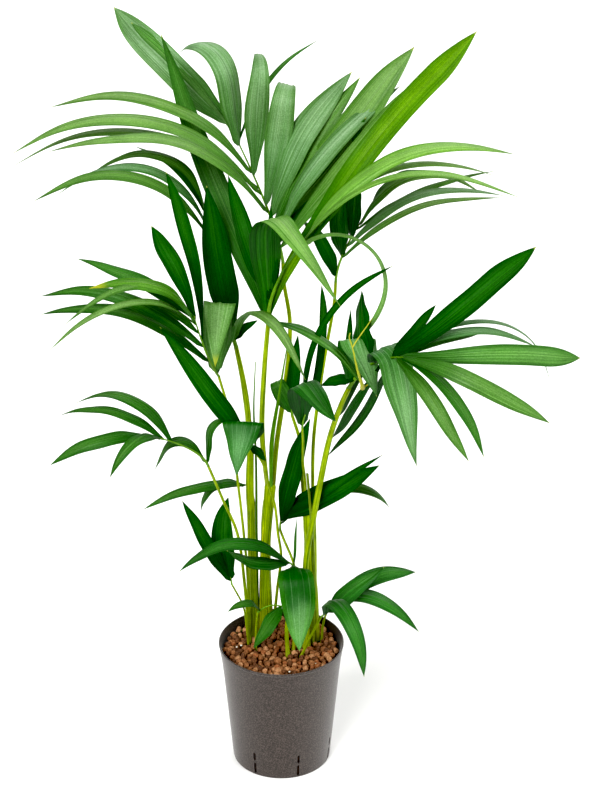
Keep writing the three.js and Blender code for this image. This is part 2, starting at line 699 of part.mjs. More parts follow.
const palm = new THREE.Group();
for (const [name, { solid, color, roughness }] of solids) {
  const material = new THREE.MeshStandardMaterial({ color, roughness, metalness: 0 });
  const mesh = new THREE.Mesh(geometryOf(solid), material);
  mesh.name = name;
  palm.add(mesh);
}

export default palm;
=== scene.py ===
# A kentia palm in its culture pot: three clasping stems and several young shoots, dressed round the
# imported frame. Tables and patches are in millimetres and piece() turns them into metres. +Z is up and
# -Y is the front.
import math
from functools import partial

import bpy
import numpy as np
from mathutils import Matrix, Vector


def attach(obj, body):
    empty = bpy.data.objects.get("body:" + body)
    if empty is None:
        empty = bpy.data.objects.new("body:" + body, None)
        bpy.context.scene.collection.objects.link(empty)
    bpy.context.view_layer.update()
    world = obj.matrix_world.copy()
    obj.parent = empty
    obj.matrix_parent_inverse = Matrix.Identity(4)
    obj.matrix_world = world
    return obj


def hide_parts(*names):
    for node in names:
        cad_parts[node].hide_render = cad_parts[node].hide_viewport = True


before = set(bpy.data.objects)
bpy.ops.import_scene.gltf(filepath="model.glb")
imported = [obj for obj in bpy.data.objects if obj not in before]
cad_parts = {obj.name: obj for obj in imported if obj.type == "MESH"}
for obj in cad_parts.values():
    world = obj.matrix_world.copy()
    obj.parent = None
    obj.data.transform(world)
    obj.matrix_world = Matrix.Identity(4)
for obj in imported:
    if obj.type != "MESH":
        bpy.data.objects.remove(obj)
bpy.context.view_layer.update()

MM = 0.001
SEED = 41
UP = np.array([0.0, 0.0, 1.0])

# ---- Pot and growing medium ----

POT = dict(
    height=190, base_radius=71, band_radius=85.2, band_height=158, rim_radius=90, wall=1.8, floor=2.4,
    edge=1.6, step=0.9, lip=0.95, sides=160,
)
# Each slit is cut in two openings, from its lower to its upper height.
SLITS = dict(count=7, first=-83, width=4, openings=[(3, 22), (26, 40)], inside=6, outside=8)
MEDIUM_TOP = 172

# The imported core under the granules, and how far it stands off the pot.
# The core's clay is painted nearly black, as the shade beneath the granules.
CORE_TOP = MEDIUM_TOP - 6
CORE_GAP = 0.3
CORE_SIDES = 96

# A granule: its least and greatest size, how far it keeps from the wall, how many flats it has, and,
# as shares of its size, its lumps, where its flats are cut and how it is stretched.
GRANULE = dict(sizes=(3.9, 5.7), room=4.2, lumps=0.035, flats=9, flat_depths=(0.62, 0.86),
               stretch=(0.82, 1.12))

# The layers of granules: height, how often their ball is split, count, first angle and tones.
LAYERS = {
    "granules_upper": (MEDIUM_TOP + 0.5, 2, 300, 0.4,
                       ["clay_mid", "clay_mid", "clay_dark", "clay_dark", "clay_red", "clay_pale"]),
    # The lower layer is darkened as painted shade, to show in the gaps between the upper granules.
    "granules_lower": (CORE_TOP, 1, 400, 1.7, ["clay_low", "clay_dark"]),
}

# Pale crumbs on the granules.
CRUMBS = [(-73, 51, 183), (-64, -4, 182), (-58, 2, 181), (-30, -52, 178), (12, -66, 180), (50, -46, 180)]
CRUMB_SIZE = 1.7

# ---- Stems, leaf stalks and spears ----


def limb(path, radii, on=None):
    """A limb through a few points, with radii from foot to tip; `on` names the stem that carries it.

    The foot's height is left out: it stands in the medium, or on its stem.
    """
    return dict(path=path, radii=radii, on=on)


STEMS = {
    "left": limb([(-41, 46), (-42, 38, 302), (-43, 34, 413), (-42, 32, 488)], [8, 5.6, 5.2, 4.8]),
    "middle": limb([(-23, 50), (-22, 46, 330), (-15, 42, 420)], [10, 6.8, 8]),
    "right": limb([(43, 38), (43, 32, 292), (40, 28, 386)], [11.5, 7.6, 9.4]),
}

STALKS = {
    "top": limb(
        [(-11.3, 45), (-5, 48, 489), (3, 50, 546), (12, 54, 625), (13, 56, 670), (5, 58, 725)],
        [3.2, 3.4, 2.8, 2.3], on="middle"),
    "centre": limb(
        [(-19, 43.5), (-25, 20, 503), (-25, 8, 549), (-20, -10, 639)],
        [2.9, 3.6, 3.4, 2.8], on="middle"),
    "upper_left": limb([(-42.5, 32), (-45, 30, 538), (-51, 26, 592)], [4, 4.1, 2.9], on="left"),
    "upper_right": limb(
        [(45, 31.5), (46, 45, 491), (55, 62, 566), (63, 74, 616), (74, 86, 681)],
        [2.2, 2.4, 2.2, 2], on="right"),
    "right": limb(
        [(36, 14), (35, 9, 251), (36, 3, 326), (45, -2, 388), (55, -8, 452), (68, -24, 531),
         (82, -42, 587)],
        [4.6, 4, 4, 3.2]),
    "left": limb(
        [(-46, 35), (-48, 24, 284), (-52, 20, 348), (-56, 16, 400), (-61, 14, 455), (-68, 8, 542)],
        [2.1, 1.8, 1.8, 1.7]),
    "low_left": limb([(-46, 26), (-52, 6, 283), (-60, -12, 371), (-78, -45, 443)], [2.4, 2, 1.8]),
    "folded": limb(
        [(-13, 62), (-6, 45, 248), (0, 28, 316), (-4, 18, 356), (-8, 8, 406), (-16, -4, 444),
         (-23, -35, 494)],
        [2, 1.8, 1.6]),
    "low_back": limb([(-36, 64), (-35, 62, 288), (-36, 60, 355)], [1.9, 1.7, 1.5]),
    "inner_front": limb(
        [(37.5, 24), (34, 19, 440), (31, -18, 488), (31, -45, 536)],
        [1.9, 1.8, 1.5], on="right"),
    "inner_right": limb([(17, -2), (21, -8, 263), (19, -4, 316), (4, 20, 346)], [2.2, 1.8, 1.7]),
    "inner_back": limb([(34.5, 30), (31, 34, 425), (27, 36, 493)], [2.6, 2.6, 2], on="right"),
    "shoot_left": limb([(-47, 18), (-52, 4, 234), (-55, -4, 254)], [1.6, 1.3, 1.2]),
    "shoot_front": limb([(10, -8), (8, -16, 221), (14, -28, 283)], [2.9, 2.4, 2]),
    "shoot_right": limb([(27, -9), (41, -24, 210)], [2, 1.8, 1.6]),
    "shoot_far_right": limb([(58, 26), (60, 8, 212)], [1.8, 1.6, 1.4]),
    "shoot_small": limb([(-37, 10), (-36, 2, 207)], [1.8, 1.6, 1.4]),
}

# Leaves still rolled up, and one old leaf stalk that was cut back.
SPEARS = {
    "spear_middle": limb(
        [(-14.2, 37.6), (-12, 34, 496), (-2, 32, 564), (9, 28, 639)],
        [2.4, 3.2, 2, 0.6], on="middle"),
    "spear_left": limb(
        [(-34.5, 57.5), (-35, 50, 328), (-35, 46, 462), (-37, 40, 538), (-34, 38, 614)],
        [2, 1.9, 1.8, 1.5, 0.6]),
    "cut_stalk_right": limb([(46, 23), (47, 14, 300), (42, 8, 395), (37, 4, 459)], [2.2, 2, 1.8]),
}

# A dried, forked thread of leaf by the hub of the right frond: its foot is thick, its tips are fine.
THREADS = [
    limb([(108, -116, 647), (107, -140, 662), (99, -164, 698), (93, -166, 727), (89, -165, 741),
          (90, -163, 746)], [3.2, 2.4, 1.5, 1.0, 0.7]),
    limb([(93, -166, 727), (100, -165, 739), (108, -162, 750), (118, -156, 763)], [0.9, 0.8, 0.5]),
    limb([(108, -124, 652), (111, -132, 657), (115, -134, 661)], [1.8, 1.2, 0.6]),
]

# How deep a limb's foot sits in its stem and in the medium.
STEM_SINK = 4
MEDIUM_SINK = 7

# The strands of a clasping stem: their radii and how far out they lie as shares of the stem's radius,
# how unevenly they stand, how far they wind round it and reach up it, and how they end: over how many
# rows of points they sink in and grow thin.
STRANDS = dict(sizes=(0.3, 0.42, 0.24, 0.36, 0.28, 0.4, 0.22), out=0.86, uneven=0.2, wind=(-0.5, 0.9),
               reach=(0.72, 1.0), end=14, sink=0.25, thin=0.5)

# A stalk where it runs down the stem that carries it: its points and the share of the stem that each
# takes, over how many it comes away from the stem, and from which point, over how many and how far it
# sinks in, as a share of its radius, and grows thin.
CLASP = dict(points=26, step=0.026, leave=5, start=8, over=17, sink=1.3, thin=0.35)

# ---- Fronds ----

# Share of a blade's full width at its foot, where it reaches the full width, where it starts to
# narrow, and how bluntly it narrows.
BLADE = dict(foot=0.38, full=0.3, narrow=0.4, taper=2.2)

# A blade's thickness, what its foot has besides, its least half width, and the width up to which it
# has few columns and pleats.
SKIN = 0.5
FOOT_SKIN = 1.6
THIN_TIP = 0.25
SLIM = 15

# The relief of a blade: the length of a row of its mesh, how far it may twist in degrees, the slope of
# its halves at its foot and beyond, its pleats, its midrib as a share of them, the ripple of its edges
# as a share of its width and how far it strays sideways as a share of its length. A blade that bends
# sharply has shorter rows and less of a twist and slope.
RELIEF = dict(row=5.0, twist=14, foot_slope=0.7, slope=0.15, pleats=0.8, midrib=0.5, ripple=0.1,
              stray=0.006)
SHARP_RELIEF = dict(RELIEF, row=2.5, twist=4.2, foot_slope=0.2, slope=0.05)


def blade(at, clock, lean, reach, droop, roll, width, tone, fold=(0, 1), turn=0, spin=0, **outline):
    """The record of one leaflet.

    at     share of the rib where the leaflet stands
    clock  the way it sets out: 0 up, 90 to the right, seen from the front, in degrees
    lean   turned from there towards the front, in degrees
    reach  its length along the blade
    droop  how far it has bent by its tip, in degrees
    roll   how far that bend is turned from straight down to the leaflet's left, in degrees
    width  its full width
    tone   the colours of its upper face and its underside
    fold   the stretch of its length in which it bends
    turn   how far the whole blade is tipped to the front, to keep clear of its neighbours
    spin   how far the blade is turned about its own line, in degrees
    outline holds its own values in place of those of BLADE.
    """
    return {**BLADE, **outline, "at": at, "clock": clock, "lean": lean, "reach": reach, "droop": droop,
            "roll": roll, "width": width, "tone": tone, "fold": fold, "turn": turn, "spin": spin}


def frond(slot, girth, midrib, fans):
    """A frond: its midrib goes through the stalk's tip, the middle and the end of the rib.

    A fan holds the values of blade() for a `count` of leaflets: a list gives each leaflet its own, or
    is spread evenly over them where it has fewer.
    """
    return dict(slot=slot, girth=girth, midrib=midrib, fans=fans)


FRONDS = {
    "top": frond("fresh_leaf", 2.2, [(4, 60, 752), (-19, 105, 817), (-70, 170, 911)], [
        dict(count=4, at=[0.45, 0.58, 0.62, 0.72], clock=[-31, -36, -48, -34], lean=[17, 13, 11, 10],
             reach=[347, 397, 382, 321], droop=[76, 91, 82, 79], roll=-30, width=[28, 26, 20, 26],
             tone="grass"),
        # Of these two, the second is a painted shadow: a narrow dark strip laid on the terminal leaflet.
        dict(count=2, at=[1, 0.95], clock=[-44, -34], lean=[7, 0], reach=[235, 207], droop=[51, 33],
             roll=[-89, -52], width=[40, 20], foot=[0.38, 0.12], full=[0.3, 0.68], narrow=[0.55, 0.72],
             taper=2.8, tone=["sage", "banded"]),
        dict(count=6, at=[0.42, 0.34, 0.3, 0.24, 0.2, 0.15], clock=[13, 19, 30, 18, 33, 33],
             lean=[9, 8, 9, 14, 3, 11], reach=[233, 239, 317, 278, 216, 313],
             droop=[45, 37, 21, 48, -3, 11], roll=[77, 69], width=[44, 28, 44, 28, 26, 28], foot=0.3,
             full=0.45, narrow=[0.5, 0.55, 0.62, 0.5, 0.5, 0.55],
             tone=["sage", "leaf", "grass", "sage", "green", "grass"]),
        dict(at=0.7, clock=4, lean=-1, reach=206, droop=110, roll=84, width=33, foot=0.25, full=0.42,
             narrow=0.46, taper=1.6, fold=[0.6, 0.95], tone="sage"),
        dict(at=0.88, clock=-8, lean=1, reach=219, droop=125, roll=-54, width=38, narrow=0.5,
             fold=[0.3, 1], tone="sage"),
        dict(at=0.9, clock=21, lean=-18, reach=193, droop=48, roll=-3, width=10, tone="green"),
        dict(at=0.5, clock=9, lean=2, reach=245, droop=150, roll=95, width=36, foot=0.25, full=0.42,
             narrow=0.45, taper=1.7, fold=[0.5, 0.9], tone="sage"),
    ]),
    "centre": frond("fresh_leaf", 2.8, [(-15, -20, 699), (-4, -35, 758), (31, -20, 812)], [
        dict(count=4, at=[0.95, 0.98, 0.9, 0.86], clock=[32, 28, 31, 28], lean=[4, 14, 8, 15],
             reach=[376, 348, 325, 351], droop=[46, 89, 91, 89], roll=[72, 49, 39, 33],
             width=[30, 26, 14, 14], foot=[0.6, 0.5, 0.4, 0.4], narrow=[0.78, 0.4, 0.6, 0.6],
             taper=[1.7, 2.2, 2.4, 2.4], tone=["lime", "pale", "pale", "pale"]),
        dict(at=0.45, clock=21, lean=3, reach=322, droop=199, roll=-7, width=9, foot=0.7, narrow=0.8,
             taper=2, spin=-50, tone="pale"),
        dict(at=0.06, clock=-32, lean=-50, reach=420, droop=46, roll=160, width=34, turn=4, tone="green"),
        dict(count=2, at=[0.3, 0.45], clock=[-25, -7], lean=[-16, -20], reach=[181, 110], droop=[30, 10],
             roll=-70, width=[26, 20], tone="deep"),
        dict(at=0.1, clock=-1, lean=5, reach=340, droop=110, roll=40, width=46, narrow=0.36, taper=1,
             fold=[0.3, 0.6], tone="folded_light"),
        dict(at=0.02, clock=81, lean=36, reach=172, droop=55, roll=3, width=20, foot=0.3, tone="inner"),
        dict(at=0.08, clock=18, lean=9, reach=122, droop=12, roll=62, width=16, foot=0.35, full=0.8,
             narrow=0.9, spin=40, tone="lime"),
    ]),
    "upper_left": frond("leaf", 2.8, [(-60, 20, 646), (-82, 45, 725), (-100, 90, 813)], [
        dict(count=4, at=[1, 0.97, 0.9, 0.84], clock=[-22, -10, -22, -27], lean=[0, 5, 10, 14],
             reach=[138, 221, 258, 287], droop=[60, 119, 108, 95], roll=-28, width=[16, 19, 17, 19],
             spin=[0, -22, -20, -18], tone=["green", "leaf", "satin", "leaf"]),
        dict(at=0.12, clock=-9, lean=-3, reach=203, droop=18, roll=-70, width=40, tone="deep"),
        dict(at=0.05, clock=10, lean=27, reach=236, droop=117, roll=16, width=22, tone="grass"),
        dict(at=0.06, clock=29, lean=19, reach=46, droop=53, roll=70, width=14, tone="deep"),
    ]),
    "upper_right": frond("deep_leaf", 1.9, [(76, 90, 711), (89, 118, 747), (127, 170, 793)], [
        dict(at=0.1, clock=-15, lean=0, reach=103, droop=75, roll=-60, width=22, tone="deep"),
        dict(count=2, at=[0.4, 0.65], clock=[-8, 0], lean=[-40, -45], reach=[108, 96], droop=10, roll=-60,
             width=[26, 28], spin=36, tone="shade"),
        dict(count=5, at=[0.95, 0.8, 0.75, 0.55, 0.4], clock=[28, 25, 50, 39, 41], lean=[4, 11, 5, 8, 11],
             reach=[123, 219, 209, 250, 246], droop=[76, 108, 32, 73, 52], roll=[30, 37, 19, 30, 25],
             width=[24, 20, 14, 19, 17], tone=["leaf", "grass", "leaf", "sage", "grass"]),
    ]),
    "right": frond("leaf", 2.8, [(92, -60, 621), (120, -110, 679), (157, -180, 720)], [
        dict(at=0.85, clock=50, lean=7, reach=230, droop=25, roll=90, width=30, foot=0.5, full=0.5,
             narrow=0.7, taper=2.2, tone="deep"),
        dict(count=4, at=[0.8, 0.75, 0.8, 0.78], clock=[54, 55, 59, 72], lean=[-38, -3, 0, -13],
             reach=[102, 302, 216, 135], droop=[9, 106, 71, 34], roll=[60, 20, 25, 40],
             width=[13, 10, 16, 14], narrow=0.6, tone=["deep", "satin", "satin", "green"]),
        dict(count=4, at=[0.95, 1, 0.97, 0.9], clock=[65, 77, 86, 103], lean=[40, 50, 51, 67],
             reach=[257, 228, 184, 180], droop=[83, 83, 67, 67], roll=[70, 50, 6, 26],
             width=[26, 21, 18, 19], full=[0.6, 0.4, 0.4, 0.4], narrow=[0.78, 0.55, 0.5, 0.5], taper=2.2,
             tone=["inner", "leaf", "green", "leaf"]),
        dict(at=0.6, clock=1, lean=8, reach=203, droop=160, roll=31, width=52, foot=0.7, full=0.2,
             narrow=0.42, taper=1.3, fold=[0, 0.35], tone="folded_satin"),
        dict(at=0.12, clock=3, lean=0, reach=158, droop=121, roll=-72, width=50, foot=0.5, narrow=0.45,
             taper=1.25, fold=[0.34, 0.46], tone="folded_satin"),
        dict(count=3, at=[0.85, 0.7, 0.4], clock=[-173, -163, -163], lean=[-46, -36, -41],
             reach=[345, 285, 198], droop=[-20, -10, 5], roll=[-117, 32, -108], width=[12, 13, 11],
             spin=[-12, 0, -20], foot=0.3, full=0.5, narrow=0.6, tone="deep"),
        dict(at=0.15, clock=-88, lean=-3, reach=51, droop=48, roll=-30, width=18, tone="deep"),
        dict(count=2, at=[0.4, 0.1], clock=[-17, -9], lean=[-40, -12], reach=[108, 96], droop=24, roll=-70,
             width=[42, 12], turn=[4, 0], tone="deep"),
    ]),
    "left": frond("leaf", 1.8, [(-83, 0, 610), (-97, -35, 659), (-111, -70, 729)], [
        dict(count=4, at=[1, 0.95, 0.62, 0.36], clock=[-46, -23, -43, -44], lean=[7, 21, 9, 9],
             reach=[173, 171, 255, 270], droop=[42, 79, 77, 80], roll=-40, width=[22, 24, 22, 20],
             tone=["green", "yellow_tipped", "green", "green"]),
        dict(count=3, at=[0.9, 0.9, 0.8], clock=[-24, -36, -42], lean=[19, 28, 0], reach=[221, 241, 81],
             droop=[101, 91, 35], roll=-20, width=[12, 10, 14], spin=[-20, -20, 0],
             tone=["leaf", "grass", "green"]),
        dict(count=3, at=[0.95, 0.7, 0.06], clock=[-14, -3, 14], lean=[3, -21, -14], reach=[143, 228, 91],
             droop=[54, -19, -7], roll=[-75, -75, 70], width=[25, 19, 20], foot=0.3, full=0.6, narrow=0.64,
             spin=[0, 50, 50], tone=["deep", "deep", "green"]),
        dict(at=0.15, clock=4, lean=-10, reach=187, droop=155, roll=-158, width=44, foot=0.4, narrow=0.5,
             taper=1.3, fold=[0.47, 0.57], tone="pale_tipped"),
    ]),
    "low_left": frond("leaf", 1.8, [(-96, -80, 515), (-118, -110, 555), (-166, -160, 600)], [
        dict(count=4, at=[0.75, 0.85, 1, 0.9], clock=[-23, -45, -80, -31], lean=[7, 6, 18, 45],
             reach=[172, 163, 143, 115], droop=[107, 83, 56, 111], roll=[-40, -20], width=[22, 16, 20, 18],
             tone="green"),
        dict(at=0.12, clock=-24, lean=12, reach=118, droop=138, roll=-30, width=20, fold=[0.1, 0.8],
             tone="green"),
        dict(at=0.08, clock=4, lean=3, reach=118, droop=137, roll=75, width=17, fold=[0.3, 0.8],
             tone="green"),
    ]),
    "folded": frond("deep_leaf", 1.6, [(-40, -80, 545), (-43, -84, 553), (-47, -90, 563)], [
        dict(at=0.3, clock=-9, lean=10, reach=115, droop=132, roll=25, width=56, foot=0.4, full=0.24,
             narrow=0.38, taper=1.15, fold=[0.28, 0.42], tone="arched"),
        dict(at=0.1, clock=107, lean=22, reach=32, droop=45, roll=-7, width=18, turn=12, tone="deep"),
        dict(at=0.6, clock=-32, lean=2, reach=194, droop=22, roll=-70, width=26, tone="deep"),
    ]),
    "low_back": frond("deep_leaf", 1.5, [(-41, 55, 410), (-48, 58, 412), (-55, 62, 412)], [
        dict(count=2, at=[0.9, 0.7], clock=[-71, -60], lean=[28, 20], reach=[155, 96], droop=[55, 117],
             roll=[-30, -13], width=[16, 20], tone="green"),
    ]),
    "inner_front": frond("deep_leaf", 1.5, [(30, -60, 561), (31, -65, 573), (34, -72, 587)], [
        dict(at=0.3, clock=-4, lean=5, reach=155, droop=110, roll=70, width=40, fold=[0.3, 0.6],
             tone="tucked"),
        dict(at=0.3, clock=2, lean=3, reach=280, droop=55, roll=45, width=9, narrow=0.7, spin=65,
             fold=[0.1, 1], turn=-4, tone="deep"),
        dict(at=0.2, clock=19, lean=-6, reach=194, droop=33, roll=112, width=11, foot=0.6, narrow=0.75,
             spin=-55, tone="deep"),
    ]),
    "inner_right": frond("deep_leaf", 1.7, [(-1, 30, 355), (-1, 33, 364), (1, 37, 374)], [
        dict(at=0.7, clock=8, lean=4, reach=174, droop=20, roll=80, width=30, turn=8, tone="deep"),
        dict(count=2, at=[0.9, 0.95], clock=[49, 43], lean=26, reach=[186, 196], droop=[12, 24], roll=90,
             width=[34, 13], turn=[-4, 0], tone="deep"),
        dict(at=0.5, clock=61, lean=-41, reach=216, droop=115, roll=-98, width=17, foot=0.3, full=0.5,
             narrow=0.6, spin=-20, tone="green"),
    ]),
    "inner_back": frond("deep_leaf", 1.9, [(16, 40, 532), (15, 42, 542), (13, 45, 553)], [
        dict(at=0.6, clock=3, lean=0, reach=104, droop=29, roll=80, width=18, turn=4, tone="deep"),
        dict(at=0.2, clock=-24, lean=-4, reach=72, droop=150, roll=-70, width=26, fold=[0.5, 0.9], turn=4,
             tone="green"),
    ]),
    "shoot_left": frond("deep_leaf", 1.3, [(-69, -25, 299), (-70, -24, 306), (-71, -22, 313)], [
        dict(count=2, at=[0.4, 0.6], clock=[-29, -20], lean=[0, -14], reach=[152, 118], droop=[-14, 40],
             roll=[-60, -112], width=[20, 32], spin=[0, 50], foot=0.5, tone="deep"),
    ]),
    "shoot_front": frond("leaf", 1.8, [(19, -35, 329), (16, -38, 338), (10, -42, 345)], [
        dict(count=2, at=[0.8, 0.9], clock=[-39, -84], lean=[20, 17], reach=[191, 111], droop=[105, -46],
             roll=-30, width=22, tone=["shade", "shade"]),
        dict(at=0.4, clock=15, lean=60, reach=150, droop=110, roll=0, width=50, foot=0.6, full=0.28,
             narrow=0.42, taper=1.9, fold=[0, 0.5], tone="front"),
        dict(at=0.2, clock=4, lean=-3, reach=73, droop=10, roll=60, width=4, tone="green"),
    ]),
    "shoot_right": frond("leaf", 1.5, [(56, -50, 260), (61, -52, 266), (66, -55, 273)], [
        dict(count=2, at=[0.9, 0.6], clock=[35, 4], lean=[16, 30], reach=[111, 209], droop=[34, 162],
             roll=[70, 20], width=[28, 26], tone="shade"),
    ]),
    "shoot_far_right": frond("leaf", 1.4, [(64, -20, 247), (71, -22, 261), (79, -24, 273)], [
        dict(count=2, at=[0.9, 0.6], clock=[40, 32], lean=[14, 31], reach=[143, 167], droop=[92, 105],
             roll=[54, 27], width=26, tone="shade"),
    ]),
    "shoot_small": frond("leaf", 1.3, [(-33, -10, 244), (-17, -6, 252), (1, -2, 249)], [
        dict(count=2, at=[0.1, 0.95], clock=[-21, -137], lean=[21, 37], reach=[62, 72], droop=[106, 5],
             roll=[-30, 0], width=[15, 28], tone="green"),
    ]),
}

# A small leaf that grows low down against the back of the wall.
LOW_LEAF = dict(blade(0, -84, 26, 42, 34, 0, 13, "olive", spin=20), base=np.array([-36.0, 60.0, 180.0]))

# ---- Colours ----

# How strongly a leaflet and a limb mirror the light.
PLAIN_SHINE = 0.3
LIMB_SHINE = 0.16


def greens(upper, under, veins, foot, under_veins=None, shine=PLAIN_SHINE, **extras):
    """The colours of a leaflet's upper face, its underside, its veins and its foot. The vein colour is also
    that of its painted sheen, and on nearly every tone the foot colour is painted shade.

    The underside may have veins of its own. extras go to the sockets of the blade's node group: how far
    and how strongly its foot or its dry tip colours it, how strong its veins, the painted shade in its
    grooves and the painted sheen along its middle are, and how many thin pale lines run along it.
    """
    return dict(upper=upper, under=under, upper_veins=veins, under_veins=under_veins or veins, foot=foot,
                shine=shine, extras=extras)


TONES = {
    # A fresh yellow-green, partly painted light shining through the leaflet.
    "lime": greens("#5a8c00", "#649a04", "#8cb42c", "#246400", shine=0.14, foot_length=0.55,
                   foot_strength=0.85, line_strength=0.2, sheen_strength=0.05),
    "pale": greens("#7cae40", "#6ea248", "#a8cf84", "#4f8a1c"),
    "grass": greens("#65923c", "#57893c", "#98b87a", "#3c781c"),
    "leaf": greens("#497f20", "#467a2a", "#86ac66", "#1c6006"),
    # A greyer green, partly a painted reflection of the pale light.
    "sage": greens("#66915a", "#5b8b54", "#a2c09c", "#427a2a"),
    # A mid green paled by a painted sheen.
    "satin": greens("#4a8040", "#487c40", "#94b88c", "#125806", shine=0.4, groove_strength=0.3,
                    sheen_strength=0.5),
    "green": greens("#2c6e12", "#2f6a16", "#6a9a4c", "#0a4e00", shine=0.22, vein_strength=0.4,
                    groove_strength=0.35, line_strength=0.35),
    "deep": greens("#0a5200", "#105604", "#3a8022", "#033a00", under_veins="#24660e", shine=0.09,
                   vein_strength=0.4, groove_strength=0.3, line_strength=0.35, sheen_strength=0.25),
    "shade": greens("#15620a", "#145808", "#4c8a34", "#033e00", shine=0.26, vein_strength=0.4,
                    groove_strength=0.35, line_strength=0.5, sheen_strength=0.35),
    # This and the next two fold over: undersides painted deep as shade, upper faces paler as painted light.
    "folded_light": greens("#6ea642", "#0e5800", "#b0cc8c", "#2c7808", under_veins="#3a7c14",
                           foot_length=0.35, line_strength=0.5),
    # The long dark foot of this and the next is painted shade where the blade faces away from the light.
    "arched": greens("#3c8034", "#0e5400", "#88b884", "#0a5200", under_veins="#2c6c14", shine=0.18,
                     foot_length=0.9, foot_hold=0.45, foot_strength=1.0, groove_strength=0.2,
                     line_strength=0.15, sheen_strength=0.22),
    "front": greens("#60984c", "#2f7020", "#98c094", "#084e00", shine=0.16, foot_length=0.85,
                    foot_hold=0.62, foot_strength=1.0, vein_strength=0.25, groove_strength=0.12,
                    line_strength=0.25, line_count=6.0, sheen_strength=0.15),
    "inner": greens("#3c7a20", "#3c7622", "#80b060", "#145804"),
    # A folded green whose underside is painted deep as shade.
    "tucked": greens("#1c6810", "#0a4c00", "#5c964c", "#0a4c00", under_veins="#246410"),
    # A folded green paled by a painted sheen, its underside painted deep as shade and its foot as shade.
    "folded_satin": greens("#4e8a3c", "#0e5400", "#90b884", "#145c0a", under_veins="#2c6c14",
                           foot_length=0.48, foot_hold=0.2, foot_strength=0.9, sheen_strength=0.5),
    "pale_tipped": greens("#6ea24e", "#2c6c14", "#9cc084", "#5c943a", tip_color="#a8b438", tip_length=0.07),
    "yellow_tipped": greens("#4a8416", "#3f7a1c", "#7ca848", "#246408", tip_color="#b0b42c",
                            tip_length=0.1),
    # A painted shadow: a dark strip laid on the terminal leaflet, paler at its foot so that it fades in.
    "banded": greens("#3c7a1c", "#4b8430", "#84b060", "#70985c", foot_length=0.6, foot_strength=1.0,
                     sheen_strength=0.0),
    "olive": greens("#4c6a1c", "#44601c", "#748a3c", "#3a5214"),
}

# Limbs: their own colour, that of their streaks and that of their foot.
LIMB_TONES = {
    "stem": ("#98ae06", "#2e5c00", "#a8a848"),
    "stem_bright": ("#c4cc24", "#688c06", "#b4b050"),
    "stalk": ("#96ac10", "#2e6002", "#9aa23c"),
    "rib": ("#6f9a24", "#34700c", "#6f9a34"),
    "spear": ("#5f9210", "#22600a", "#5f9a2c"),
    "old_stalk": ("#7c9228", "#4a661a", "#9aa248"),
    "thread": ("#b4b83c", "#8c9828", "#b8b040"),
}

# Fired clay: its colour, that of its specks, their scale and share, and its roughness.
CLAY_TONES = {
    "clay_mid": ("#845631", "#b08058", 420.0, 0.6, 0.85),
    "clay_dark": ("#5c381c", "#8a6040", 420.0, 0.6, 0.85),
    "clay_pale": ("#a87a54", "#cca07a", 420.0, 0.6, 0.85),
    "clay_red": ("#88522c", "#b07c54", 420.0, 0.6, 0.85),
    # The next two are painted shade: nearly black clay for the gaps between granules and the core below.
    "clay_low": ("#1e0f06", "#341c0b", 420.0, 0.6, 0.85),
    "packed_clay": ("#1e0f07", "#40240f", 300.0, 0.8, 0.9),
}

# ---- Studio ----

FLOOR_RADIUS = 30000
FLOOR_DEPTH = 20

# Each light: its name, the way to it, its strength and how soft it is, in degrees.
LIGHTS = [
    ("key", (-0.6, -1.0, 0.9), 3.2, 34),
    ("fill", (1.0, -0.6, 0.7), 1.9, 50),
    ("back", (0.2, 1.0, 0.9), 1.5, 60),
]

# The camera's place in metres, how far it looks down in degrees, and its lens in millimetres.
CAMERA = dict(place=(0.027, -2.6, 1.82), pitch=25.6, lens=95.31, sensor=36)
BLACK_LEVEL = 0.014


def linear(code):
    """A #rrggbb colour as linear RGBA."""
    channels = [int(code[i:i + 2], 16) / 255 for i in (1, 3, 5)]
    return [c / 12.92 if c <= 0.04045 else ((c + 0.055) / 1.055) ** 2.4 for c in channels] + [1.0]


def darker(code):
    """The same green as painted shade in a groove: deeper, and purer."""
    shares = (0.55, 0.72, 0.2)
    return "#" + "".join(f"{int(int(code[1 + 2 * k:3 + 2 * k], 16) * s):02x}" for k, s in enumerate(shares))


# ---- Small maths ----


def unit(v):
    return v / np.linalg.norm(v)


def smooth(x):
    x = np.clip(x, 0, 1)
    return x * x * (3 - 2 * x)


def spread(values, share):
    """The value at a share of a run, from a list that is spread evenly over it."""
    return float(np.interp(share, np.linspace(0, 1, len(values)), values))


def evenly(values, count):
    """A list of values spread evenly over a number of places."""
    return [spread(values, share) for share in np.linspace(0, 1, count)]


def full_turn(count):
    """Angles once round, without a last one on top of the first."""
    return np.linspace(0, 2 * np.pi, count, endpoint=False)


def distances(points):
    """How far along a run each of its points lies."""
    return np.concatenate([[0], np.cumsum(np.linalg.norm(np.diff(points, axis=0), axis=1))])


def turned(v, angle, axis=(1.0, 0.0, 0.0)):
    """v turned about an axis through the origin, in radians."""
    k = np.array(axis)
    along = np.outer(v @ k, k) if v.ndim > 1 else (v @ k) * k
    return v * math.cos(angle) + np.cross(k, v) * math.sin(angle) + along * (1 - math.cos(angle))


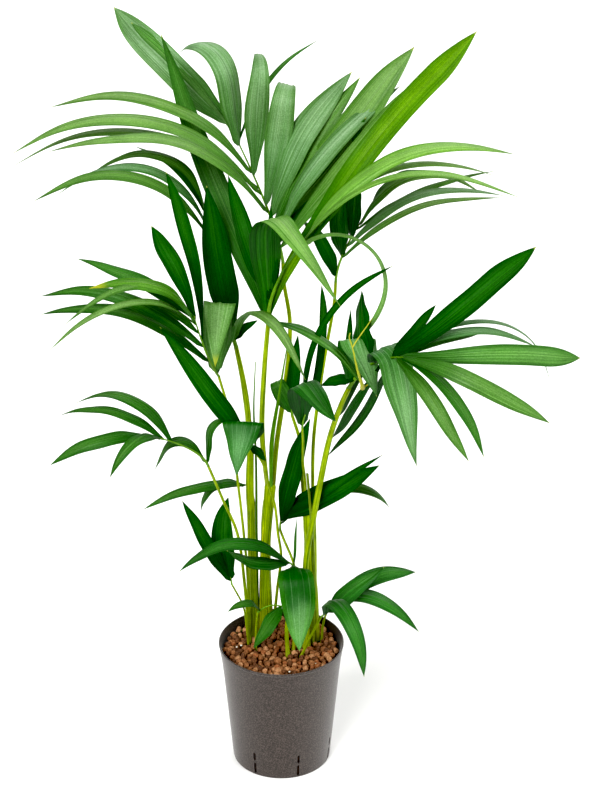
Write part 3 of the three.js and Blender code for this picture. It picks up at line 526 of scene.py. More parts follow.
def through(points, spacing):
    """Points at an even spacing along a centripetal curve through the given ones."""
    p = np.array(points, float)
    p = np.vstack([2 * p[0] - p[1], p, 2 * p[-1] - p[-2]])
    t = np.linspace(0, 1, 33)[:, None]
    run = [p[1][None]]
    for a, b, c, d in zip(p, p[1:], p[2:], p[3:]):
        before, here, after = (math.sqrt(np.linalg.norm(e)) for e in (b - a, c - b, d - c))
        leave = ((b - a) / before - (c - a) / (before + here) + (c - b) / here) * here
        enter = ((c - b) / here - (d - b) / (here + after) + (d - c) / after) * here
        cubic = (2 * t**3 - 3 * t**2 + 1) * b + (t**3 - 2 * t**2 + t) * leave
        run.append((cubic + (3 * t**2 - 2 * t**3) * c + (t**3 - t**2) * enter)[1:])
    dense = np.vstack(run)
    length = distances(dense)
    places = np.linspace(0, length[-1], max(4, round(length[-1] / spacing)) + 1)
    return np.stack([np.interp(places, length, dense[:, k]) for k in range(3)], axis=1)


def frames(points):
    """Across and over at each point of a run, without needless twist."""
    along = np.gradient(points, axis=0)
    along /= np.linalg.norm(along, axis=1)[:, None]
    across = np.zeros_like(points)
    side = np.array((1.0, 0.0, 0.0))
    for i, a in enumerate(along):
        side = unit(side - (side @ a) * a)
        across[i] = side
    return across, np.cross(along, across)


# ---- Mesh patches ----

# A patch is a dict of points (in millimetres), faces, one UV for each face corner, one tone for each
# face, and the flags of the points whose edges stay sharp.


def patch(points, faces, uvs, tones, sharp=None):
    sharp = np.zeros(len(points), bool) if sharp is None else sharp
    return dict(points=points, faces=faces, uvs=uvs, tones=tones, sharp=sharp)


def tube(rings, tone, lengths):
    """A closed skin through rings of equal count, (rows, sides, 3); U runs round and V along, in metres."""
    rows, sides, _ = rings.shape
    faces, uvs = [], []
    for i in range(rows - 1):
        for j in range(sides):
            k = (j + 1) % sides
            faces.append((i * sides + j, i * sides + k, (i + 1) * sides + k, (i + 1) * sides + j))
            low, high = lengths[i] * MM, lengths[i + 1] * MM
            uvs += [(j / sides, low), ((j + 1) / sides, low), ((j + 1) / sides, high), (j / sides, high)]
    for row in (0, rows - 1):
        order = range(sides) if row else range(sides - 1, -1, -1)
        faces.append(tuple(row * sides + j for j in order))
        uvs += [(j / sides, lengths[row] * MM) for j in order]
    return patch(rings.reshape(-1, 3), faces, uvs, [tone] * len(faces))


def mesh_of(name, points, faces):
    """A mesh in metres from points in millimetres."""
    mesh = bpy.data.meshes.new(name)
    mesh.from_pydata((points * MM).tolist(), [], faces)
    return mesh


def in_scene(name, data):
    """A new object in the scene."""
    made = bpy.data.objects.new(name, data)
    bpy.context.scene.collection.objects.link(made)
    return made


def piece(name, patches, nodes=()):
    """Joins patches into one mesh that rides on the root body."""
    faces, uvs, tones, start = [], [], [], 0
    for p in patches:
        faces += [tuple(v + start for v in face) for face in p["faces"]]
        uvs += p["uvs"]
        tones += p["tones"]
        start += len(p["points"])
    used = sorted(set(tones))
    mesh = mesh_of(name, np.vstack([p["points"] for p in patches]), faces)
    mesh.uv_layers.new(name="run").data.foreach_set("uv", np.array(uvs, np.float32).ravel())
    mesh.polygons.foreach_set("material_index", [used.index(t) for t in tones])
    mesh.polygons.foreach_set("use_smooth", [True] * len(faces))
    sharp = np.concatenate([p["sharp"] for p in patches])
    if sharp.any():
        ends = np.zeros(len(mesh.edges) * 2, int)
        mesh.edges.foreach_get("vertices", ends)
        both = sharp[ends.reshape(-1, 2)].all(axis=1)
        mesh.attributes.new("sharp_edge", "BOOLEAN", "EDGE").data.foreach_set("value", both)
    for tone in used:
        mesh.materials.append(MATERIALS[tone])
    mesh.update()
    made = in_scene(name, mesh)
    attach(made, "root")
    if nodes:
        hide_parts(*nodes)
    return made


# ---- Leaflets ----


def rib_curve(midrib):
    """The rib as a function of its share: a quadratic curve through the hub, the middle and the end."""
    hub, middle, end = (np.array(p, float) for p in midrib)
    pull = 2 * middle - 0.5 * hub - 0.5 * end
    return lambda t: (1 - t) ** 2 * hub + 2 * t * (1 - t) * pull + t * t * end


def blades_of(fan):
    """The records of a fan's leaflets."""
    count, tones, fold = fan.get("count", 1), fan["tone"], tuple(fan.get("fold", (0, 1)))
    spreads = {key: value for key, value in fan.items() if key not in ("count", "tone", "fold")}
    made = []
    for i in range(count):
        share = i / max(1, count - 1)
        own = {key: spread(value, share) if isinstance(value, list) else value
               for key, value in spreads.items()}
        made.append(blade(**own, fold=fold, tone=tones if isinstance(tones, str) else tones[i]))
    return made


def blade_line(leaf, rows):
    """The blade's centre line: it sets out along `out` and bends in one plane, towards `sag`."""
    clock, lean, roll = (math.radians(leaf[key]) for key in ("clock", "lean", "roll"))
    out = np.array([math.sin(clock) * math.cos(lean), -math.sin(lean), math.cos(clock) * math.cos(lean)])
    down = unit(out * out[2] - UP)
    left = np.cross(out, down)
    sag = down * math.cos(roll) + left * math.sin(roll)
    out, sag = (turned(v, math.radians(leaf["turn"])) for v in (out, sag))
    low, high = leaf["fold"]

    def heading(share):
        bent = math.radians(leaf["droop"]) * smooth((share - low) / (high - low))
        return np.outer(np.cos(bent), out) + np.outer(np.sin(bent), sag)

    steps = heading((np.arange(rows) + 0.5) / rows) * leaf["reach"] / rows
    points = leaf["base"] + np.vstack([np.zeros(3), np.cumsum(steps, axis=0)])
    return points, heading(np.arange(rows + 1) / rows), np.cross(out, sag)


def blade_width(share, leaf):
    """The blade's half width, as a share of its full half width."""
    joint = 0.35 + 0.65 * smooth(share / 0.035)
    rise = leaf["foot"] + (1 - leaf["foot"]) * smooth(share / leaf["full"])
    narrowing = np.clip((share - leaf["narrow"]) / (1 - leaf["narrow"]), 0, 1)
    return joint * rise * (1 - narrowing ** leaf["taper"])


def pleats_across(u, width, rng):
    """Uneven pleats across a blade: a few waves of different widths."""
    waves = (2, 3.2, 4.6) if width > SLIM else (1, 2)
    height = sum(np.cos(u * np.pi * n * rng.uniform(0.85, 1.15) + rng.uniform(0, 6.28)) for n in waves)
    return height / len(waves) * 0.9


def blade_skin(leaf, rows, u, relief, rng):
    """The points of a blade's upper face and, without its edges, of its underside."""
    points, headings, across = blade_line(leaf, rows)
    share = np.arange(rows + 1) / rows
    face = np.cross(headings, across)
    settled = smooth(share / 0.3)
    twist = np.radians(rng.uniform(-relief["twist"], relief["twist"])) * smooth(share)
    twist = twist + np.radians(leaf["spin"]) * settled
    side = across * np.cos(twist)[:, None] + face * np.sin(twist)[:, None]
    lift = np.cross(headings, side)
    half = np.maximum(blade_width(share, leaf) * leaf["width"] / 2, THIN_TIP)
    slope = relief["foot_slope"] * np.exp(-share / 0.07) + relief["slope"]
    depth = min(relief["pleats"], leaf["width"] / 36) * smooth(share / 0.1)
    depth = depth * (1 - smooth((share - 0.8) / 0.2))
    wave_count, phase = rng.uniform(1.5, 3), rng.uniform(0, 2 * np.pi, 2)
    height = -np.outer(slope * half, np.abs(u))
    height += np.outer(depth, pleats_across(u, leaf["width"], rng))
    ripple = np.outer(half * relief["ripple"] * settled, u**2)
    height += ripple * np.sin(2 * np.pi * wave_count * share + phase[0])[:, None]
    height += np.outer(depth, relief["midrib"] * np.exp(-((u / 0.06) ** 2)))
    drift = leaf["reach"] * relief["stray"] * np.sin(np.pi * share * 2 + phase[1]) * settled
    middle = points + side * (drift * smooth((1 - share) / 0.3))[:, None]
    sheet = middle[:, None] + side[:, None] * np.outer(half, u)[..., None]
    sheet += lift[:, None] * height[..., None]
    thick = (SKIN + FOOT_SKIN * np.exp(-share / 0.03))[:, None] * (1 - u**8)[None] / 2
    shell = lift[:, None] * thick[..., None]
    return sheet + shell, (sheet - shell)[:, 1:-1]


def leaflet(leaf, rng):
    """A thin closed blade: ridged along its midrib, pleated along its veins, and a little uneven."""
    relief = SHARP_RELIEF if leaf["fold"][1] - leaf["fold"][0] < 0.5 else RELIEF
    rows = max(16, round(leaf["reach"] / relief["row"]))
    columns = 21 if leaf["width"] > SLIM else 11
    share, u = np.arange(rows + 1) / rows, np.linspace(-1, 1, columns)
    top, under = blade_skin(leaf, rows, u, relief, rng)
    count, count_under = (rows + 1) * columns, (rows + 1) * (columns - 2)
    upper = np.arange(count).reshape(rows + 1, columns)
    lower = upper.copy()
    lower[:, 1:-1] = count + np.arange(count_under).reshape(rows + 1, columns - 2)
    place_u = (u + 1) / 2 * 0.96 + 0.02 + rng.integers(40)
    faces, uvs, tones = [], [], []
    for i in range(rows):
        for j in range(columns - 1):
            corners = ((i, j), (i, j + 1), (i + 1, j + 1), (i + 1, j))
            where = [(place_u[c], share[r]) for r, c in corners]
            faces.append(tuple(int(upper[c]) for c in corners))
            faces.append(tuple(int(lower[c]) for c in reversed(corners)))
            uvs += where + where[::-1]
            tones += [leaf["tone"], leaf["tone"] + "_under"]
    for i in (0, rows):
        loop = [int(v) for v in upper[i]] + [int(v) for v in lower[i, -2:0:-1]]
        faces.append(tuple(loop if i else loop[::-1]))
        uvs += [(place_u[columns // 2], share[i])] * len(loop)
        tones.append(leaf["tone"])
    sharp = np.zeros(count + count_under, bool)
    sharp[upper[:, [0, -1]]] = True
    return patch(np.vstack([top.reshape(-1, 3), under.reshape(-1, 3)]), faces, uvs, tones, sharp)


# ---- Limbs ----


def shaft(line, radius, tone, sides=18, flutes=0.05, lobes=3, phase=0.0, swirl=0.0):
    """A fluted skin round a dense centre line with a radius at each of its points."""
    line, radius = np.asarray(line, float), np.asarray(radius, float)
    across, over = frames(line)
    length = distances(line)
    angle = full_turn(sides)
    section = 1 + flutes * np.cos(lobes * angle[None] + phase + swirl * length[:, None])
    rings = line[:, None] + (radius[:, None] * section)[..., None] * (
        across[:, None] * np.cos(angle)[None, :, None] + over[:, None] * np.sin(angle)[None, :, None])
    return tube(rings, tone, length)


def rounded_end(points, radii, tone, **shape):
    """A limb whose far end closes in a low dome."""
    line = through(points, 4)
    end = unit(line[-1] - line[-2])
    last = radii[-1]
    dome = [line[-1] + end * last * step for step in (0.25, 0.45, 0.6)]
    run = evenly(radii, len(line)) + [last * 0.9, last * 0.66, last * 0.25]
    return shaft(np.vstack([line] + dome), run, tone, **shape)


def foot_of(path, on=None):
    """The path with its foot set down: into the medium, or a little way into the stem it stands on."""
    (x, y), *rest = path
    foot = STEMS[on]["path"][-1][2] - STEM_SINK if on else MEDIUM_TOP - MEDIUM_SINK
    return [(x, y, foot)] + rest


def strands(line, girths, rng):
    """The clasping leaf bases as separate strands that wind a little way round the stem."""
    across, over = frames(line)
    made = []
    sizes, uneven = STRANDS["sizes"], STRANDS["uneven"]
    for k, size in enumerate(sizes):
        start = 2 * math.pi * (k + rng.uniform(-uneven, uneven)) / len(sizes)
        wind = rng.uniform(*STRANDS["wind"])
        last = int(len(line) * rng.uniform(*STRANDS["reach"]))
        run, radius = [], []
        for i in range(last):
            angle = start + wind * i / (len(line) - 1)
            sink = smooth((i - last + STRANDS["end"]) / STRANDS["end"])
            away = girths[i] * (STRANDS["out"] - STRANDS["sink"] * sink)
            run.append(line[i] + across[i] * math.cos(angle) * away + over[i] * math.sin(angle) * away)
            radius.append(girths[i] * size * (1 - STRANDS["thin"] * sink))
        made.append(shaft(run, radius, ("stem", "stem_bright", "stalk")[k % 3], sides=10, flutes=0.03))
    return made


def stem_patches(name, rng):
    """A clasping stem: a fluted shaft with the stalks that it carries running down its sides."""
    stem = STEMS[name]
    path = foot_of(stem["path"])
    patches = [rounded_end(path, stem["radii"], "stem", flutes=0.07, lobes=3, swirl=0.006, sides=28)]
    line = through(path, 6)
    girths = evenly(stem["radii"], len(line))
    patches += strands(line, girths, rng)
    for index, carried in enumerate([*STALKS.values(), *SPEARS.values()]):
        if carried["on"] != name:
            continue
        above = path[-1][2] + 1 - line[-1][2]
        offset = np.array([*carried["path"][0], 0]) - line[-1] * [1, 1, 0]
        own = carried["radii"][0]
        run, radius = [], []
        for k in range(CLASP["points"]):
            share = 1 - k * CLASP["step"]
            centre = np.array([spread(line[:, axis], share) for axis in range(3)])
            away = unit(offset) * max(np.linalg.norm(offset), spread(stem["radii"], share) - own * 0.75)
            near = smooth(k / CLASP["leave"])
            place = (line[-1] + offset) * (1 - near) + (centre + away) * near
            place[2] = centre[2] + above * (1 - near)
            sink = smooth((k - CLASP["start"]) / CLASP["over"])
            run.append(place - unit(offset) * own * CLASP["sink"] * sink)
            radius.append(own * (1.0 + 0.1 * smooth(k / CLASP["start"])) * (1 - CLASP["thin"] * sink))
        patches.append(shaft(run[::-1], radius[::-1], "stalk", flutes=0.04, lobes=2, phase=index, sides=12))
    return patches


def stalk_patch(name):
    """A leaf stalk up to its frond's hub; one that stands in the medium is thicker at its foot."""
    stalk = STALKS[name]
    hub = FRONDS[name]["midrib"][0]
    line = through(foot_of(stalk["path"], stalk["on"]) + [hub], 5)
    radius = evenly(stalk["radii"], len(line))
    if not stalk["on"]:
        share = np.linspace(0, 1, len(line))
        radius = [r * (1 + 0.5 * math.exp(-s * 14)) for r, s in zip(radius, share)]
    return shaft(line, radius, "stalk", flutes=0.06, lobes=2, sides=16)


def rib_patch(frond):
    """The rib, from a little inside the stalk's end to its own thin tip."""
    rib = rib_curve(frond["midrib"])
    line = np.array([rib(t) for t in np.linspace(-0.02, 1, 44)])
    return shaft(line, np.linspace(frond["girth"], 0.8, 44), "rib", flutes=0.08, lobes=2, sides=12)


# ---- Pot ----


def inner_radius(z):
    """The radius of the inner face at a height."""
    slope = (POT["band_radius"] - POT["base_radius"]) / POT["band_height"]
    return POT["base_radius"] + slope * z - POT["wall"]


def lathe(profile, sides, tone):
    """A profile of (radius, height) turned about the upright axis; both its ends lie on the axis."""
    rings = np.array([[(r * math.cos(a), r * math.sin(a), z) for a in full_turn(sides)]
                      for r, z in profile[1:-1]])
    return tube(rings, tone, distances(np.array(profile[1:-1])))


def pot_profile():
    """Flat foot, straight wall, a wider band under the rim, a rolled rim and the inner face."""
    base, edge, floor = POT["base_radius"], POT["edge"], POT["floor"]
    band, band_height, bulge = POT["band_radius"], POT["band_height"], POT["step"]
    rim, top, lip = POT["rim_radius"], POT["height"], POT["lip"]
    points = [(0, 0), (base - edge - 6, 0.9), (base - edge - 4, 0)]
    points += [(base - edge * (1 - math.sin(a)), edge * (1 - math.cos(a)))
               for a in np.linspace(0, math.pi / 2, 5)]
    points += [(base + (band - base) * s, band_height * s) for s in (0.05, 0.15, 0.3, 0.45, 0.6, 0.75, 0.9)]
    points += [(band + bulge * share, band_height + up) for share, up in ((-0.2, -5), (0.6, 2), (1.3, 8))]
    points += [(rim - 1.6, top - 12), (rim - 0.9, top - 4.2), (rim - 0.15, top - 3.4)]
    points += [(rim - lip + lip * math.cos(a), top - lip + lip * math.sin(a))
               for a in np.linspace(-0.6, math.pi, 9)]
    points += [(inner_radius(z), z) for z in (top - 6, 150, 90, 30, floor)]
    return points + [(0, floor)]


def slit_cutter(angle, low, high):
    """A block with round ends that cuts one opening of a slit through the wall."""
    half, corner = SLITS["width"] / 2, SLITS["width"] / 2 - 0.2
    turn = np.linspace(0, math.pi, 7)
    outline = [(half * math.cos(a), high - corner + corner * math.sin(a)) for a in turn]
    outline += [(-half * math.cos(a), low + corner - corner * math.sin(a)) for a in turn]
    middle = inner_radius((low + high) / 2)
    depths = (middle - SLITS["inside"], middle + SLITS["outside"])
    sine, cosine = math.sin(angle), math.cos(angle)
    rings = [[(sine * depth + cosine * x, sine * x - cosine * depth, z) for x, z in outline]
             for depth in depths]
    cutter = tube(np.array(rings), "pot", (0, depths[1] - depths[0]))
    return in_scene("slit", mesh_of("slit", cutter["points"], cutter["faces"]))


def pot_piece():
    """The pot with its slits cut through the wall."""
    wall = piece("pot", [lathe(pot_profile(), POT["sides"], "pot")], ["pot"])
    cutters = [slit_cutter(math.radians(SLITS["first"] + 360 * i / SLITS["count"]), low, high)
               for i in range(SLITS["count"]) for low, high in SLITS["openings"]]
    for cutter in cutters:
        cut = wall.modifiers.new("slit", "BOOLEAN")
        cut.operation, cut.object, cut.solver = "DIFFERENCE", cutter, "EXACT"
    bpy.context.view_layer.update()
    shaped = bpy.data.meshes.new_from_object(wall.evaluated_get(bpy.context.evaluated_depsgraph_get()))
    wall.modifiers.clear()
    wall.data = shaped
    shaped.polygons.foreach_set("use_smooth", [True] * len(shaped.polygons))
    shaped.set_sharp_from_angle(angle=math.radians(35))
    for cutter in cutters:
        bpy.data.objects.remove(cutter)


# ---- Granules ----


def ball(level):
    """A unit ball of triangles, from an icosahedron split `level` times."""
    g = (1 + math.sqrt(5)) / 2
    points = [unit(np.array(p, float)) for p in (
        (-1, g, 0), (1, g, 0), (-1, -g, 0), (1, -g, 0), (0, -1, g), (0, 1, g), (0, -1, -g), (0, 1, -g),
        (g, 0, -1), (g, 0, 1), (-g, 0, -1), (-g, 0, 1))]
    near = min(np.linalg.norm(points[0] - p) for p in points[1:]) * 1.01

    def touch(a, b):
        return np.linalg.norm(points[a] - points[b]) < near

    faces = [(a, b, c) for a in range(12) for b in range(a) for c in range(b)
             if touch(a, b) and touch(b, c) and touch(a, c)]
    faces = [f if np.linalg.det([points[v] for v in f]) > 0 else f[::-1] for f in faces]
    for _ in range(level):
        split, middles = [], {}

        def middle(a, b):
            key = (min(a, b), max(a, b))
            if key not in middles:
                middles[key] = len(points)
                points.append(unit(points[a] + points[b]))
            return middles[key]

        for a, b, c in faces:
            ab, bc, ca = middle(a, b), middle(b, c), middle(c, a)
            split += [(a, ab, ca), (b, bc, ab), (c, ca, bc), (ab, bc, ca)]
        faces = split
    return np.array(points), faces


def granule(centre, size, level, tone, rng):
    """A fired clay granule: a ball with a few flats and a lumpy skin."""
    points, faces = BALLS[level]
    shape = points * (1 + rng.normal(0, GRANULE["lumps"], (len(points), 1)))
    for _ in range(GRANULE["flats"]):
        flat = unit(rng.normal(size=3))
        over = np.maximum(shape @ flat - rng.uniform(*GRANULE["flat_depths"]), 0)
        shape = shape - over[:, None] * flat * 0.9
    stretch = rng.uniform(*GRANULE["stretch"], 3)
    spin = unit(rng.normal(size=3))
    shape = turned(shape * stretch, rng.uniform(0, 6.28), spin) * size + centre
    return patch(shape, faces, [(0.5, 0.5)] * (3 * len(faces)), [tone] * len(faces))


def granule_layer(height, level, count, start, tones, rng):
    """A layer of granules round the limbs' feet, on a spiral and heaped a little towards the wall."""
    limbs = [*STEMS.values(), *STALKS.values(), *SPEARS.values()]
    taken = [(*one["path"][0], one["radii"][0]) for one in limbs if not one["on"]]
    patches = []
    room = inner_radius(height) - GRANULE["room"]
    for i in range(count):
        angle = start + i * math.pi * (3 - math.sqrt(5))
        distance = room * math.sqrt((i + 0.5) / count) + rng.uniform(-0.8, 0.8)
        x, y = distance * math.cos(angle), distance * math.sin(angle)
        size = rng.uniform(*GRANULE["sizes"])
        z = height + rng.uniform(-2.4, 2.4) + 6 * smooth((distance / room - 0.5) / 0.5)
        tone = tones[rng.integers(len(tones))]
        if all(math.hypot(x - a, y - b) > radius + size * 0.6 for a, b, radius in taken):
            patches.append(granule(np.array([x, y, z]), size, level, tone, rng))
    return patches


# ---- Shader nodes ----


def put(kind, inputs, **settings):
    """A node with its settings, in the tree of the sockets that it joins; inputs are values or sockets."""
    sockets = {key: value for key, value in inputs.items() if isinstance(value, bpy.types.NodeSocket)}
    tree = next(iter(sockets.values())).id_data
    made = tree.nodes.new("ShaderNode" + kind)
    for key, value in settings.items():
        setattr(made, key, value)
    for key, value in inputs.items():
        if key in sockets:
            tree.links.new(value, made.inputs[key])
        else:
            made.inputs[key].default_value = value
    return made


def sums(operation, *values):
    return put("Math", dict(enumerate(values)), operation=operation).outputs[0]


plus, minus, times, divided, larger = (
    partial(sums, operation) for operation in ("ADD", "SUBTRACT", "MULTIPLY", "DIVIDE", "MAXIMUM"))


def ramp(value, low, high, to_low=0.0, to_high=1.0):
    """value eased from low to high."""
    limits = {"From Min": low, "From Max": high, "To Min": to_low, "To Max": to_high}
    return put("MapRange", {"Value": value, **limits}, interpolation_type="SMOOTHSTEP").outputs["Result"]


def fade(value, low, high):
    """From one down to none between low and high."""
    return ramp(value, low, high, 1.0, 0.0)


def blend(share, first, second, kind="MIX"):
    """Two colours blended by a share."""
    inputs = {0: share, 6: first, 7: second}
    return put("Mix", inputs, data_type="RGBA", blend_type=kind).outputs[2]


def stain(share, color, code):
    """A colour multiplied by a second one, by a share."""
    return blend(share, color, linear(code), "MULTIPLY")


def noise(place, scale, detail=3.0):
    return put("TexNoise", {"Vector": place, "Scale": scale, "Detail": detail}).outputs["Fac"]


def vector(*parts):
    return put("CombineXYZ", dict(enumerate(parts))).outputs[0]


def place_in(tree, label="Object"):
    """The place in the piece's own space, in metres, or in another space."""
    return tree.nodes.new("ShaderNodeTexCoord").outputs[label]


def run_of(tree):
    """U and V of the map that follows a blade or a limb."""
    run = tree.nodes.new("ShaderNodeUVMap")
    run.uv_map = "run"
    return put("SeparateXYZ", {0: run.outputs[0]}).outputs[:2]


def labelled(values):
    """Values by the labels of their sockets, with each #rrggbb code as a colour."""
    return {key.replace("_", " ").title(): linear(value) if isinstance(value, str) else value
            for key, value in values.items()}


def new_group(name, **inputs):
    """A node group, the sockets of its inputs, and those of the node that gives its results."""
    group = bpy.data.node_groups.new(name, "ShaderNodeTree")
    for label, value in labelled(inputs).items():
        kind = "Color" if isinstance(value, list) else "Float"
        socket = group.interface.new_socket(label, in_out="INPUT", socket_type="NodeSocket" + kind)
        socket.default_value = value
    for label, kind in (("Color", "Color"), ("Roughness", "Float"), ("Height", "Float")):
        group.interface.new_socket(label, in_out="OUTPUT", socket_type="NodeSocket" + kind)
    return group, group.nodes.new("NodeGroupInput").outputs, group.nodes.new("NodeGroupOutput").inputs


def finish_group(group, outs, color, roughness, height):
    """Joins a group's results to its outputs."""
    for label, result in (("Color", color), ("Roughness", roughness), ("Height", height)):
        group.links.new(result, outs[label])
    return group


def blade_group():
    """Parallel veins and pleats along a blade, painted shade in their grooves, along its flanks and mostly
    at its foot, a painted sheen along its middle, a dry tip and mottling in the green.
    """
    group, ins, outs = new_group(
        "blade veins", blade_color="#2a7413", vein_color="#6fa850", groove_color="#0c3a04",
        foot_color="#5f8a34", tip_color="#a0b055", vein_strength=0.56, groove_strength=0.62,
        foot_length=0.5, foot_strength=0.7, foot_hold=0.1, sheen_strength=0.25, tip_length=0.012,
        line_count=8.0, line_strength=0.5)
    across, v = run_of(group)
    u, leaf_number = sums("FRACT", across), sums("FLOOR", across)
    body = place_in(group)
    mottle, broad, grain = noise(body, 30.0), noise(body, 6.0, 1.0), noise(body, 650.0, 1.0)

    def along_blade(across_scale, along_scale, leaf_step=3.7, detail=2.0):
        """Noise drawn out along the blade, and different on each leaflet."""
        place = vector(times(u, across_scale), times(v, along_scale), times(leaf_number, leaf_step))
        return noise(place, 1.0, detail)

    pleats, streaks = along_blade(8.0, 0.2), along_blade(30.0, 0.5)
    shade = along_blade(1.6, 2.4, 5.3, 1.0)
    away = sums("ABSOLUTE", minus(u, 0.5))
    fine = ramp(streaks, 0.44, 0.66)
    veins = plus(times(ramp(pleats, 0.48, 0.7), 0.35), times(fine, 0.65))
    veins = larger(veins, fade(away, 0.0, 0.03))
    # Painted shade in the grooves of the pleats.
    grooves = larger(fade(pleats, 0.34, 0.55), fade(streaks, 0.3, 0.42))
    wave = sums("SINE", times(times(u, ins["Line Count"]), math.pi))
    line = times(fade(sums("ABSOLUTE", wave), 0.0, 0.3), ramp(along_blade(11.0, 1.5), 0.35, 0.6))

    color = blend(times(grooves, ins["Groove Strength"]), ins["Blade Color"], ins["Groove Color"])
    # The pale veins, in the colour that also gives the painted sheen below.
    color = blend(times(veins, ins["Vein Strength"]), color, ins["Vein Color"])
    color = stain(ramp(mottle, 0.35, 0.7, 0.0, 0.25), color, "#5a8a30")
    color = stain(ramp(broad, 0.3, 0.7, 0.0, 0.35), color, "#b8c860")
    # Foot colour, mostly painted shade: near the rib, and where a folded blade faces away from the light.
    from_foot = plus(divided(v, ins["Foot Length"]), times(minus(shade, 0.5), 0.5))
    from_foot = divided(minus(from_foot, ins["Foot Hold"]), minus(1.0, ins["Foot Hold"]))
    color = blend(times(fade(from_foot, 0.0, 1.0), ins["Foot Strength"]), color, ins["Foot Color"])
    color = blend(times(line, ins["Line Strength"]), color, ins["Vein Color"])
    # Painted shade along the flanks, where the blade turns away from the light; stronger on some leaflets.
    flank = times(ramp(away, 0.22, 0.48), ramp(shade, 0.35, 0.6, 0.1, 0.6))
    color = blend(flank, color, ins["Groove Color"])
    # A painted sheen: a paler band along the middle of the blade, in the vein and sheen colour.
    band = times(fade(away, 0.08, 0.4), ramp(v, 0.3, 0.65))
    band = times(band, ramp(v, 0.8, 1.0, 1.0, 0.2))
    band = times(band, ramp(shade, 0.3, 0.6, 0.4, 1.0))
    color = blend(times(band, ins["Sheen Strength"]), color, ins["Vein Color"])
    color = blend(times(ramp(away, 0.475, 0.5), 0.6), color, linear("#86aa30"))
    color = stain(ramp(grain, 0.35, 0.65, 0.0, 0.4), color, "#94b070")
    from_tip = plus(minus(1.0, v), times(minus(mottle, 0.5), 0.02))
    color = blend(fade(divided(from_tip, ins["Tip Length"]), 0.4, 1.6), color, ins["Tip Color"])
    height = plus(times(veins, 0.5), times(fine, 0.5))
    return finish_group(group, outs, color, ramp(fine, 0.0, 1.0, 0.46, 0.34), height)


def streak_group():
    """Streaks along a limb, paler at its foot."""
    group, ins, outs = new_group("limb streaks", base_color="#85a010", streak_color="#3e6a12",
                                 streak_strength=0.85, foot_color="#9aa44a")
    u, v = run_of(group)
    turn = times(u, 2 * math.pi)
    around = vector(times(sums("COSINE", turn), 3.4), times(sums("SINE", turn), 3.4), times(v, 7.0))
    streaks = ramp(noise(around, 1.6), 0.44, 0.62)
    mottle = noise(place_in(group), 60.0)
    color = blend(times(streaks, ins["Streak Strength"]), ins["Base Color"], ins["Streak Color"])
    color = blend(ramp(v, 0.0, 0.06, 0.6, 0.0), color, ins["Foot Color"])
    color = stain(ramp(mottle, 0.35, 0.75, 0.0, 0.3), color, "#6d7430")
    height = plus(times(streaks, 0.7), times(mottle, 0.3))
    return finish_group(group, outs, color, ramp(mottle, 0.2, 0.8, 0.34, 0.52), height)


def speckle_group():
    """Fine specks of a second colour over a base, with a slow change of tone."""
    group, ins, outs = new_group("specks", base_color="#4a4440", speck_color="#8c8680", speck_scale=900.0,
                                 speck_share=0.4, pore_color="#1d1814", cloud_strength=0.35)
    body = place_in(group)
    fine, slow = noise(body, ins["Speck Scale"], 2.0), noise(body, 30.0)
    specks = times(ramp(fine, 0.42, 0.7), ins["Speck Share"])
    pores = times(fade(fine, 0.28, 0.42), ins["Speck Share"])
    color = blend(specks, ins["Base Color"], ins["Speck Color"])
    color = blend(pores, color, ins["Pore Color"])
    color = stain(times(ramp(slow, 0.3, 0.7), ins["Cloud Strength"]), color, "#b0a898")
    return finish_group(group, outs, color, ramp(slow, 0.3, 0.7, 0.42, 0.62), fine)


# ---- Materials ----


def surface(name, group, values, shader, bump=0.0002, rough=None):
    """A material: one group feeding a Principled shader, with its constants set on the sockets."""
    made = bpy.data.materials.new(name)
    made.use_nodes = True
    tree = made.node_tree
    tree.nodes.clear()
    pattern = tree.nodes.new("ShaderNodeGroup")
    pattern.node_tree = group
    own = labelled(values)
    for label, value in own.items():
        pattern.inputs[label].default_value = value
    color, roughness, height = pattern.outputs
    relief = put("Bump", {"Height": height, "Strength": 1.0, "Distance": bump}).outputs[0]
    body = put("BsdfPrincipled", {"Base Color": color, "Normal": relief,
                                  "Roughness": roughness if rough is None else rough, **shader})
    put("OutputMaterial", {"Surface": body.outputs[0]})
    made.diffuse_color = next(value for value in own.values() if isinstance(value, list))
    return made


def plain_floor():
    """The pale floor."""
    made = bpy.data.materials.new("pale_floor")
    made.use_nodes = True
    shader = made.node_tree.nodes["Principled BSDF"].inputs
    shader["Base Color"].default_value = linear("#f4f4f2")
    shader["Roughness"].default_value = 0.8
    return made


